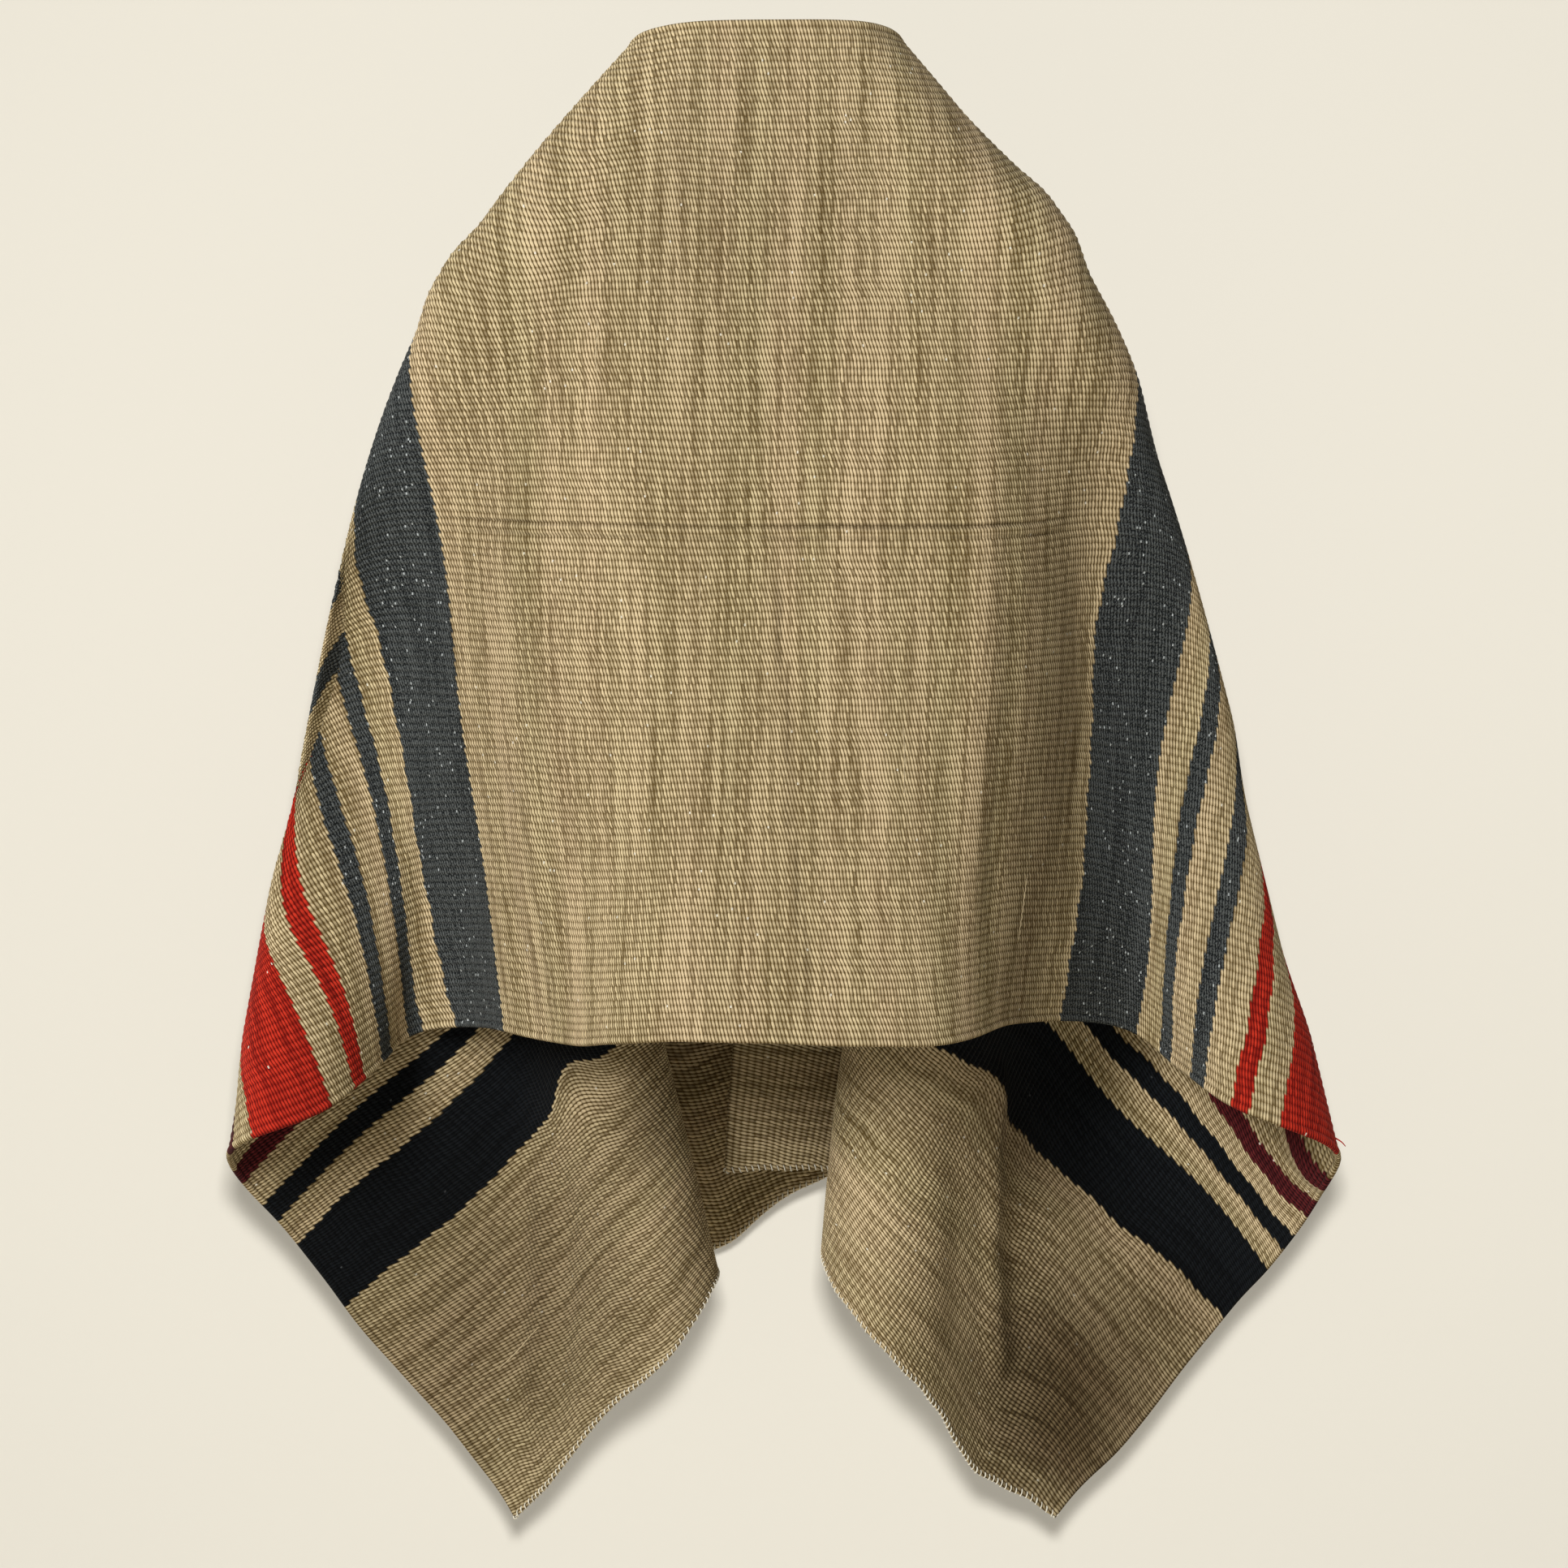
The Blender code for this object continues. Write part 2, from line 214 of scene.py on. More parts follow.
@dataclass
class Fan:
    """The hanging blanket as a fan of straight lines of cloth, the form of its solids.

    A place on the flat cloth is u along the blanket from centre back and v down from the top
    selvedge. Each line starts on the top selvedge and ends on the outer edge. Its angle on the
    flat cloth and the run along it are the two parameters of the form.
    """

    half_length: float = 963.0
    width: float = 755.0
    neck_depth: float = 105.0
    shoulder_start: float = 105.0
    front_start: float = 235.0
    arm_edge: float = 600.0
    levels: tuple[float, ...] = (0.0, 0.28, 0.63, 1.0)
    faint: float = 1e-6
    carried: Array = field(init=False)
    sections: Array = field(init=False)

    def __post_init__(self) -> None:
        """Read the four sections at every line that the outer section carries."""
        outer = self.section_rows("outer")
        self.carried = outer[:, 0]
        turn = self.line_turn(self.carried)
        read = []
        for level in ("neck", "shoulder", "elbow"):
            rows = self.section_rows(level)
            read.append(natural_spline(self.line_turn(rows[:, 0]), rows[:, 1:], turn))
        read.append(outer[:, 1:])
        self.sections = np.stack(read)

    @staticmethod
    def section_rows(level: str) -> Array:
        """Edge places and points of one section, from the left end round the back to the right."""
        left = [(-p.edge, -p.across, p.deep, -p.drop) for p in reversed(LEFT[level])]
        middle = CENTRE[level]
        right = [(p.edge, p.across, p.deep, -p.drop) for p in RIGHT[level]]
        return np.array(left + [(0, middle.across, middle.deep, -middle.drop)] + right, float)

    @property
    def outer_edge(self) -> float:
        """Length of the outer edge from centre back to the last line."""
        return self.half_length + self.width

    @property
    def front_share(self) -> float:
        """Run on the top selvedge for each millimetre of outer edge, in front of the arms."""
        return (self.front_start - self.shoulder_start) / (self.outer_edge - self.arm_edge)

    def line_start(self, edge: Array) -> Array:
        """Place on the top selvedge where the line to an edge place starts."""
        reach = np.abs(edge)
        back = reach / self.arm_edge * self.shoulder_start
        front = self.shoulder_start + (reach - self.arm_edge) * self.front_share
        return np.sign(edge) * np.where(reach < self.arm_edge, back, front)

    def line_run(self, edge: Array) -> tuple[Array, Array]:
        """Run along and across the blanket from the start of a line to the outer edge."""
        reach = np.abs(edge)
        end = np.sign(edge) * np.minimum(reach, self.half_length)
        across = self.width - np.maximum(reach - self.half_length, 0)
        return end - self.line_start(edge), across

    def line_turn(self, edge: Array) -> Array:
        """Angle of a line on the flat blanket."""
        along, across = self.line_run(edge)
        return np.arctan2(along, across)

    def line_through(self, u: Array, v: Array) -> tuple[Array, Array]:
        """The line through each place on the flat cloth, and the run along it.

        A line to the lower selvedge has its place linear in the edge distance. A line to the
        end edge gives a quadratic equation in the distance past the corner.

        Args:
            u: places along the blanket.
            v: places down from the top selvedge.

        Returns:
            Edge distances and runs.
        """
        reach = np.abs(u)
        down = v / self.width
        share = self.front_share
        slope = self.shoulder_start / self.arm_edge
        back = reach / (slope * (1 - down) + down)
        rest = self.shoulder_start - self.arm_edge * share
        arm = (reach - rest * (1 - down)) / (share * (1 - down) + down)
        corner = self.shoulder_start + (self.half_length - self.arm_edge) * share
        gap = reach - corner
        linear = -gap - share * (self.width - v)
        constant = self.width * gap - (self.half_length - corner) * v
        root = np.sqrt(np.maximum(linear ** 2 - 4 * share * constant, 0))
        end = self.half_length + np.clip((-linear - root) / (2 * share), 0, self.width)
        edge = np.where(back < self.arm_edge, back, np.where(constant > 0, end, arm))
        edge = np.minimum(edge, self.outer_edge)
        run = np.hypot(reach - self.line_start(edge), v)
        return np.sign(u) * edge, run

    def points(self, u: Array, v: Array) -> Array:
        """Points of the middle of the cloth, in millimetres.

        Every carried line is read at the same run, and the spline over the lines' angles joins
        them at the angle of the line through the place. A line whose weight is faint there is
        left out.
        """
        edge, run = self.line_through(u, v)
        turns = self.line_turn(self.carried)
        turn = self.line_turn(edge)
        lengths = np.hypot(*self.line_run(self.carried))
        each = np.eye(len(turns))
        total = np.zeros((len(run), 3))
        for k, length in enumerate(lengths):
            weight = natural_spline(turns, each[:, k:k + 1], turn)
            near = np.abs(weight[:, 0]) > self.faint
            line = natural_spline(np.array(self.levels) * length, self.sections[:, k], run[near])
            total[near] += weight[near] * line
        total[:, 1] -= self.neck_depth
        return total

    def boundary(self, edge: float, v: Array) -> Array:
        """Place along the blanket where the line to an edge place crosses each row of cloth."""
        start = float(self.line_start(np.array(edge)))
        return start + (edge - start) * v / self.width


@dataclass
class Weave:
    """Ribbed weft-faced cloth: sizes of its ribs, picks, cords and creases, in millimetres."""

    rib_count: int = 142
    cord_radius: float = 2.9
    crest: float = 1.6
    valley: float = 0.85
    end_round: float = 1.5
    pick: float = 2.4
    cord_angles: tuple[float, ...] = (0, 28, 56, 84, 112, 140)
    rows_a_rib: int = 4
    column_step: float = 6.0

    def rib(self, fan: Fan) -> float:
        """Width of one rib, between the two selvedge cords."""
        return (fan.width - 4 * self.cord_radius) / self.rib_count

    def rows(self, fan: Fan) -> Array:
        """Rows of the grid down the cloth: round each cord, then at equal steps in the ribs."""
        angles = np.radians(self.cord_angles)
        cord = self.cord_radius * (1 - np.cos(angles))
        first = 2 * self.cord_radius
        ribs = np.linspace(first, fan.width - first, self.rib_count * self.rows_a_rib + 1)
        return np.concatenate([cord, ribs, fan.width - cord[::-1]])

    def columns(self, fan: Fan) -> Array:
        """Columns of the grid along the blanket, closer where the cut ends are rounded."""
        half = fan.half_length
        count = round(2 * (half - self.column_step) / self.column_step)
        middle = np.linspace(self.column_step - half, half - self.column_step, count + 1)
        ease = self.end_round * np.array([0.0, 0.25, 0.6, 1.0, 2.0])
        return np.concatenate([ease - half, middle, half - ease[::-1]])

    def half_thickness(self, fan: Fan, u: Array, v: Array) -> Array:
        """Half the cloth's thickness: round cords, sine ribs between them and rounded ends.

        Args:
            fan: the hanging blanket.
            u: places along the blanket.
            v: places down from the top selvedge.

        Returns:
            Half thickness, which is nothing at the selvedges and the ends.
        """
        rim = np.minimum(v, fan.width - v)
        inside = np.clip(1 - (rim / self.cord_radius - 1) ** 2, 0, 1)
        cord = self.cord_radius * 0.82 * np.sqrt(inside)
        phase = (v - 2 * self.cord_radius) / self.rib(fan)
        rib = self.valley + (self.crest - self.valley) * np.sin(math.pi * phase) ** 2
        body = np.where(rim < self.cord_radius, cord,
                        np.where(rim < 2 * self.cord_radius, np.maximum(cord, self.valley), rib))
        end = np.clip((fan.half_length - np.abs(u)) / self.end_round, 0, 1)
        return body * np.sqrt(1 - (1 - end) ** 2)


@dataclass(frozen=True)
class Crease:
    """A soft fold mark in the cloth, a trough or a ridge along a straight line.

    Its section is a bell curve across the line, and it fades out at both ends. Painted shade
    darkens the wool along some creases, and wander is how far the line strays.
    """

    start: tuple[float, float]
    end: tuple[float, float]
    height: float
    spread: float
    # Painted shade along the crease: how far it darkens the wool colour.
    painted_shade: float = 0.0
    wander: float = 1.0
    fade: float = 0.2

    def bell(self, u: Array, v: Array) -> Array:
        """Share of the crease's height at a place."""
        run = np.array(self.end) - np.array(self.start)
        length = float(np.hypot(*run))
        along = ((u - self.start[0]) * run[0] + (v - self.start[1]) * run[1]) / length
        aside = ((v - self.start[1]) * run[0] - (u - self.start[0]) * run[1]) / length
        aside = aside - self.wander * waves(along, (170.0, 61.0), round(length))
        ends = self.fade * length
        rise = np.clip(along / ends, 0, 1) * np.clip((length - along) / ends, 0, 1)
        return np.exp(-(aside / self.spread) ** 2) * rise * rise * (3 - 2 * rise)

    def lift(self, u: Array, v: Array) -> Array:
        """How far the crease lifts the cloth along its normal, in millimetres."""
        return self.height * self.bell(u, v)


@dataclass(frozen=True)
class Slip:
    """A place where the cloth lies a little along or down from where its lines would put it."""

    u: float
    v: float
    along: float
    down: float
    spread_u: float
    spread_v: float

    def share(self, u: Array, v: Array) -> Array:
        """Share of the slip at a place, a bell curve both ways."""
        return np.exp(-((u - self.u) / self.spread_u) ** 2 - ((v - self.v) / self.spread_v) ** 2)


@dataclass(frozen=True)
class Tone:
    """A broad soft patch of darker wool, which stands for shade that the lights don't give."""

    u: float
    v: float
    amount: float
    spread_u: float
    spread_v: float
    faces: tuple[Face, ...] = (Face.INNER,)

    def share(self, u: Array, v: Array) -> Array:
        """How far the wool is darkened at a place, a bell curve both ways."""
        aside = ((u - self.u) / self.spread_u) ** 2 + ((v - self.v) / self.spread_v) ** 2
        return self.amount * np.exp(-aside)


# Painted shade: soft patches of darker wool colour where the lights give too little shade.
SHADE_PATCHES: list[Tone] = [
    Tone(-850, 640, 0.54, 150, 210),
    Tone(-820, 440, 0.40, 34, 40),
    Tone(868, 700, 0.84, 80, 105),
    Tone(765, 560, 0.50, 34, 90),
    Tone(775, 720, 0.30, 40, 60),
    Tone(930, 740, 0.40, 34, 70),
    Tone(216, 590, 0.46, 34, 230, (Face.OUTER,)),
    Tone(-215, 470, 0.15, 70, 260, (Face.OUTER,)),
    Tone(0, 160, 0.10, 130, 110, (Face.OUTER,)),
]

# The fifth value of each crease is painted shade that darkens the wool along it.
CREASES: list[Crease] = [
    Crease((-262, 377.5), (238, 378.5), -1.1, 1.7, 0.22, 0.5, 0.08),
    Crease((-262, 382.0), (238, 382.5), 0.7, 2.6, 0.0, 0.5, 0.08),
    Crease((-262, 386.0), (238, 386.5), -1.2, 1.7, 0.16, 0.5, 0.08),
    Crease((-20, 378.0), (180, 378.3), -0.3, 2.2, 0.22, 0.5, 0.15),
    Crease((-4, 388), (18, 750), -1.5, 4.2, 0.20, 1.4, 0.12),
    Crease((6, 390), (27, 750), 0.8, 4.5, 0.0, 1.4, 0.12),
    Crease((-75, 20), (-120, 420), 1.2, 16.0, 0.0, 3.0),
    Crease((60, 30), (85, 360), -1.2, 15.0, 0.0, 3.0),
    Crease((160, 320), (171, 752), -1.8, 10.0, 0.05, 2.0),
    Crease((138, 320), (146, 740), 1.2, 12.0, 0.0, 2.0),
    Crease((-203, 560), (-199, 758), 1.6, 8.0, 0.0, 2.0),
    Crease((-232, 520), (-228, 758), -1.8, 9.0, 0.06, 2.0),
    Crease((-640, 300), (-560, 700), 2.0, 22.0, 0.0, 4.0),
    Crease((660, 330), (590, 700), -1.6, 20.0, 0.0, 4.0),
    Crease((735, 462), (908, 650), -6.5, 12.0, 0.16, 2.0, 0.14),
    Crease((770, 438), (930, 596), 3.2, 19.0, 0.0, 2.0),
    Crease((-768, 556), (-930, 704), -3.6, 15.0, 0.08, 2.0),
    Crease((-788, 528), (-950, 676), 3.2, 14.0, 0.0, 2.0),
    Crease((130, 70), (300, 330), 9.5, 38.0, 0.0, 2.0, 0.3),
    Crease((165, 122), (232, 200), 6.0, 21.0, 0.0, 1.0, 0.4),
    Crease((-205, 150), (-262, 240), 5.5, 22.0, 0.0, 1.0, 0.4),
    Crease((158, 230), (150, 710), 4.0, 27.0, 0.0, 2.0, 0.3),
    Crease((240, 250), (262, 720), -5.0, 25.0, 0.0, 2.0, 0.25),
    Crease((-440, 540), (-575, 738), 5.0, 36.0, 0.0, 2.0, 0.3),
    Crease((385, 490), (515, 690), -6.0, 36.0, 0.0, 2.0, 0.3),
]

SLIPS: list[Slip] = [
    Slip(-470, 620, -14, 0, 34, 50),
    Slip(-332, 650, 8, 0, 22, 45),
    Slip(-758, 480, 18, 0, 34, 32),
    Slip(332, 650, 9, 0, 24, 75),
    Slip(578, 735, 33, 0, 23, 45),
    Slip(624, 700, 15, 0, 30, 75),
    Slip(672, 690, 5, 0, 20, 50),
    Slip(758, 478, -12, 0, 30, 28),
    Slip(758, 580, 10, 0, 30, 36),
    Slip(758, 685, -4, 0, 30, 30),
    Slip(-845, 755, 0, -8, 62, 60),
    Slip(830, 755, 0, -5.5, 50, 60),
    Slip(963, 700, -7, 0, 60, 40),
]


@dataclass
class Cloth:
    """The woven blanket as it hangs: the fan's form with the weave's thickness and wander."""

    fan: Fan
    weave: Weave
    warp_wander: float = 0.5
    weft_wander: float = 1.1
    step: float = 0.5
    close: float = 1e-6

    def wander(self, u: Array, v: Array) -> tuple[Array, Array]:
        """Where the threads of a place really run: ribs and picks drift a little as woven.

        The drift is a product of soft waves along and across the cloth, and the slips are added.
        """
        down = v + self.warp_wander * waves(u, (310.0, 143.0, 67.0), 3) * waves(v + 40, (520.0, 90.0), 4)
        along = u + self.weft_wander * waves(v, (260.0, 118.0, 41.0), 5) * waves(u, (400.0, 130.0), 6)
        for slip in SLIPS:
            share = slip.share(u, v)
            along = along + slip.along * share
            down = down + slip.down * share
        return along, down

    def middle(self, u: Array, v: Array) -> Array:
        """Points of the middle of the cloth, in millimetres."""
        return self.fan.points(*self.wander(u, v))

    def layout(self, u: Array, v: Array) -> tuple[Array, Array, Array, Array]:
        """Middle points, unit normals and tangents of the cloth, with its creases.

        The tangents are differences over a short step, and the normal is their cross product.

        Args:
            u: places along the blanket.
            v: places down from the top selvedge.

        Returns:
            Points in millimetres, outward normals, and tangents along u and along v.
        """
        here = self.middle(u, v)
        side = np.where(u > 0, -self.step, self.step)
        rise = np.where(v > self.fan.width / 2, -self.step, self.step)
        along = unit((self.middle(u + side, v) - here) * side[:, None])
        down = unit((self.middle(u, v + rise) - here) * rise[:, None])
        normal = unit(np.cross(down, along))
        return here + normal * self.folds(u, v)[:, None], normal, along, down

    def folds(self, u: Array, v: Array) -> Array:
        """Height of all the creases together."""
        return sum(crease.lift(u, v) for crease in CREASES)

    @staticmethod
    def painted_shade(u: Array, v: Array) -> Array:
        """How far painted shade darkens the yarn of the outer and the inner face, from 0 to 1: along the
        creases and in the shade patches.
        """
        shade_share = sum(crease.painted_shade * crease.bell(u, v) for crease in CREASES if crease.painted_shade)
        return np.stack([shade_share + sum(tone.share(u, v) for tone in SHADE_PATCHES if face in tone.faces)
                         for face in (Face.OUTER, Face.INNER)])

    def slopes(self, height: Callable[[Array, Array], Array], u: Array, v: Array) -> tuple[Array, Array]:
        """Slopes of a height along and down the cloth."""
        small = 0.05
        along = (height(u + small, v) - height(u - small, v)) / (2 * small)
        down = (height(u, v + small) - height(u, v - small)) / (2 * small)
        return along[:, None], down[:, None]

    def skins(self, u: Array, v: Array) -> tuple[list[Array], list[Array]]:
        """Points and shading normals of the outer and the inner face of the cloth.

        A face stands off the middle by half the thickness, and its normal leans back from
        the rise of its ribs and creases along each tangent. On the rim both faces meet and
        the normal points straight out of the cloth.

        Args:
            u: places along the blanket.
            v: places down from the top selvedge.

        Returns:
            Points and normals, outer face first.
        """
        point, normal, along, down = self.layout(u, v)

        def half(at_u: Array, at_v: Array) -> Array:
            """Half the thickness at a place."""
            return self.weave.half_thickness(self.fan, at_u, at_v)

        thick = half(u, v)[:, None]
        body = self.slopes(half, u, v)
        fold = self.slopes(self.folds, u, v)
        ends = np.sign(u) * self.past_end(u)
        out = along * ends[:, None] + down * (self.past_selvedge(v) * np.sign(v - 1))[:, None]
        rim = (np.abs(out).sum(axis=1) > 0)[:, None]
        points, normals = [], []
        for face in (Face.OUTER, Face.INNER):
            lean = (face.value * body[0] + fold[0]) * along + (face.value * body[1] + fold[1]) * down
            shading = face.value * (normal - lean)
            normals.append(unit(np.where(rim, out, shading)))
            points.append(point + face.value * normal * thick)
        return points, normals

    def past_end(self, u: Array) -> Array:
        """Whether a place is on a cut end."""
        return np.abs(u) >= self.fan.half_length - self.close

    def past_selvedge(self, v: Array) -> Array:
        """Whether a place is on a selvedge's rim."""
        return (v <= self.close) | (v >= self.fan.width - self.close)


class MeshParts(NamedTuple):
    """Arrays that make a mesh: points in metres, faces padded with -1, normals, UVs and painted shade."""

    points: Array
    faces: Array
    normals: Array | None = None
    places: Array | None = None
    painted_shade: Array | None = None


def linked(name: str, data: bpy.types.ID) -> bpy.types.Object:
    """A new object in the scene."""
    item = bpy.data.objects.new(name, data)
    bpy.context.scene.collection.objects.link(item)
    return item


def make_mesh(name: str, parts: MeshParts, uv_name: str = "cloth") -> bpy.types.Object:
    """Put arrays into a new mesh object at the origin.

    Args:
        name: the piece's name.
        parts: its arrays.
        uv_name: name of the UV map that holds the places on the flat cloth.

    Returns:
        The linked object, shaded smooth.
    """
    mesh = bpy.data.meshes.new(name)
    faces = parts.faces
    sizes = (faces >= 0).sum(axis=1)
    corners = faces[faces >= 0]
    mesh.vertices.add(len(parts.points))
    mesh.vertices.foreach_set("co", parts.points.astype(np.float32).ravel())
    mesh.loops.add(len(corners))
    mesh.loops.foreach_set("vertex_index", corners.astype(np.int32))
    mesh.polygons.add(len(faces))
    starts = np.concatenate([[0], np.cumsum(sizes)[:-1]])
    mesh.polygons.foreach_set("loop_start", starts.astype(np.int32))
    mesh.update(calc_edges=True)
    mesh.shade_smooth()
    if parts.places is not None:
        layer = mesh.uv_layers.new(name=uv_name)
        layer.data.foreach_set("uv", parts.places[corners].astype(np.float32).ravel())
    # Painted shade of each point, which the wool's shader reads to darken its colour.
    if parts.painted_shade is not None:
        darker = mesh.attributes.new("painted_shade", "FLOAT", "POINT")
        darker.data.foreach_set("value", parts.painted_shade.astype(np.float32))
    if parts.normals is not None:
        mesh.normals_split_custom_set_from_vertices(parts.normals.tolist())
    return linked(name, mesh)


def dress(name: str, parts: MeshParts, finish: bpy.types.Material) -> bpy.types.Object:
    """A piece with its finish, which rides on the body."""
    item = make_mesh(name, parts)
    item.data.materials.append(finish)
    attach(item, BODY)
    return item


def tube(path: Array, radius: Array, sides: int = 6) -> MeshParts:
    """A closed tube along a path: rings across it, each turned as little as possible.

    A ring's first spoke is the last ring's spoke made square to the new direction, and both
    ends are closed with one face.

    Args:
        path: points in millimetres.
        radius: radius at each point.
        sides: points of a ring.

    Returns:
        The tube's arrays, in metres.
    """
    count = len(path)
    ahead = unit(np.gradient(path, axis=0))
    spoke = np.empty_like(path)
    helper = np.array([0.0, 0.0, 1.0]) if abs(ahead[0, 2]) < 0.9 else np.array([1.0, 0.0, 0.0])
    current = np.cross(ahead[0], helper)
    for i in range(count):
        current = current - ahead[i] * (current @ ahead[i])
        current = current / np.linalg.norm(current)
        spoke[i] = current
    other = np.cross(ahead, spoke)
    angle = np.linspace(0, 2 * math.pi, sides, endpoint=False)
    ring = spoke[:, None] * np.cos(angle)[None, :, None] + other[:, None] * np.sin(angle)[None, :, None]
    points = path[:, None] + ring * radius[:, None, None]
    index = np.arange(count * sides).reshape(count, sides)
    here, there = index[:-1], index[1:]
    quads = np.stack([here, np.roll(here, -1, 1), np.roll(there, -1, 1), there], axis=-1).reshape(-1, 4)
    padded = np.full((len(quads) + 2, max(4, sides)), -1)
    padded[:-2, :4] = quads
    padded[-2, :sides] = index[0][::-1]
    padded[-1, :sides] = index[-1]
    return MeshParts(points.reshape(-1, 3) * MM, padded)


def joined(parts: list[MeshParts]) -> MeshParts:
    """Several pieces' points and faces as one mesh."""
    width = max(p.faces.shape[1] for p in parts)
    points, faces, first = [], [], 0
    for p in parts:
        wide = np.full((len(p.faces), width), -1)
        wide[:, :p.faces.shape[1]] = np.where(p.faces >= 0, p.faces + first, -1)
        points.append(p.points)
        faces.append(wide)
        first += len(p.points)
    return MeshParts(np.concatenate(points), np.concatenate(faces))


@dataclass
class ClothStretch:
    """One stretch of the blanket between two lines of the fan, a closed shell of ribbed cloth."""

    name: str
    node: str
    first: float
    last: float
    cloth: Cloth
    snap: float = 0.4

    def limits(self, v: Array) -> tuple[Array, Array]:
        """Where the stretch starts and ends along the blanket in each row."""
        half = self.cloth.fan.half_length
        ends = []
        for edge in (self.first, self.last):
            past = abs(edge) >= self.cloth.fan.outer_edge
            line = np.full_like(v, math.copysign(half, edge)) if past else self.cloth.fan.boundary(edge, v)
            ends.append(np.clip(line, -half, half))
        return ends[0], ends[1]

    def flat_area(self) -> float:
        """Area of the stretch on the flat cloth, in square metres."""
        v = self.cloth.weave.rows(self.cloth.fan)
        low, high = self.limits(v)
        wide = high - low
        return float(((wide[1:] + wide[:-1]) / 2 * np.diff(v)).sum()) * MM * MM

    def grid(self) -> tuple[Array, Array, Array, Array]:
        """Columns, rows, and the first and last column that each row really has.

        Grid columns outside the stretch are drawn to its limit, so the shell follows the
        slanting lines and keeps square cells inside.
        """
        weave = self.cloth.weave
        fan = self.cloth.fan
        columns = weave.columns(fan)
        v = weave.rows(fan)
        low, high = self.limits(v)
        reach = self.snap * weave.column_step
        u = np.broadcast_to(columns, (len(v), len(columns)))
        below = u <= np.where(self.cloth.past_end(low), low, low + reach)[:, None] + self.cloth.close
        above = u >= np.where(self.cloth.past_end(high), high, high - reach)[:, None] - self.cloth.close
        first = np.maximum(below.sum(axis=1) - 1, 0)
        last = np.minimum(len(columns) - above.sum(axis=1), len(columns) - 1)
        last = np.maximum(last, first)
        u = np.where(below, low[:, None], np.where(above, high[:, None], u))
        return u, np.broadcast_to(v[:, None], u.shape), first, last

    def parts(self) -> MeshParts:
        """Both faces, joined round the selvedges and ends, with a wall inside each seam."""
        u, v, first, last = self.grid()
        rows, columns = u.shape
        column = np.clip(np.arange(columns)[None], first[:, None], last[:, None])
        outer = np.arange(rows)[:, None] * columns + column
        fan = self.cloth.fan
        rim = (self.cloth.past_selvedge(v) | self.cloth.past_end(u)).ravel()[outer]
        inner = np.where(rim, outer, outer + rows * columns)
        quads = [self.cells(outer), self.cells(inner)[:, ::-1]]
        quads.append(self.wall(outer, inner, first, towards=-1))
        quads.append(self.wall(outer, inner, last, towards=1))
        used, faces = compact(tidy_faces(np.concatenate(quads)))
        places, twin = np.unique(used % (rows * columns), return_inverse=True)
        face = used // (rows * columns)
        at_u, at_v = u.ravel()[places], v.ravel()[places]
        points, normals = self.cloth.skins(at_u, at_v)
        flat = np.stack([at_u / (2 * fan.half_length) + 0.5, at_v / fan.width], axis=1)
        painted_shade = self.cloth.painted_shade(at_u, at_v)[face, twin]
        shading = np.stack(normals)[face, twin]
        return MeshParts(np.stack(points)[face, twin] * MM, faces, shading, flat[twin], painted_shade)

    @staticmethod
    def cells(index: Array) -> Array:
        """Four corners of each cell of a grid of point numbers, turned to face outwards."""
        return np.stack([index[:-1, :-1], index[1:, :-1], index[1:, 1:], index[:-1, 1:]],
                        axis=-1).reshape(-1, 4)

    @staticmethod
    def wall(outer: Array, inner: Array, at: Array, towards: int) -> Array:
        """Wall through the cloth along one seam, from the outer face to the inner one."""
        rows = np.arange(len(at))
        one = outer[rows, at]
        two = inner[rows, at]
        quads = np.stack([one[:-1], one[1:], two[1:], two[:-1]], axis=-1)
        return quads[:, ::-1] if towards < 0 else quads

    def build(self, finish: bpy.types.Material) -> bpy.types.Object:
        """The stretch as a dressed object that stands for its solid."""
        item = dress(self.name, self.parts(), finish)
        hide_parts(self.node)
        return item


def tidy_faces(quads: Array) -> Array:
    """Faces with doubled corners taken out: slivers go, and some quads turn into triangles.

    Args:
        quads: four point numbers for each face.

    Returns:
        The faces that have an area, padded with -1 where a face has three corners.
    """
    doubled = quads == np.roll(quads, 1, axis=1)
    count = doubled.sum(axis=1)
    whole = quads[count == 0]
    whole = whole[(whole[:, 0] != whole[:, 2]) & (whole[:, 1] != whole[:, 3])]
    short = quads[count == 1]
    keep = ~doubled[count == 1]
    three = short[keep].reshape(-1, 3)
    padded = np.concatenate([three, np.full((len(three), 1), -1)], axis=1)
    return np.concatenate([whole, padded])


def compact(faces: Array) -> tuple[Array, Array]:
    """Point numbers that the faces use, and the faces renumbered to them."""
    used = np.unique(faces[faces >= 0])
    renumber = np.full(used.max() + 2, -1)
    renumber[used] = np.arange(len(used))
    return used, np.where(faces >= 0, renumber[faces], -1)


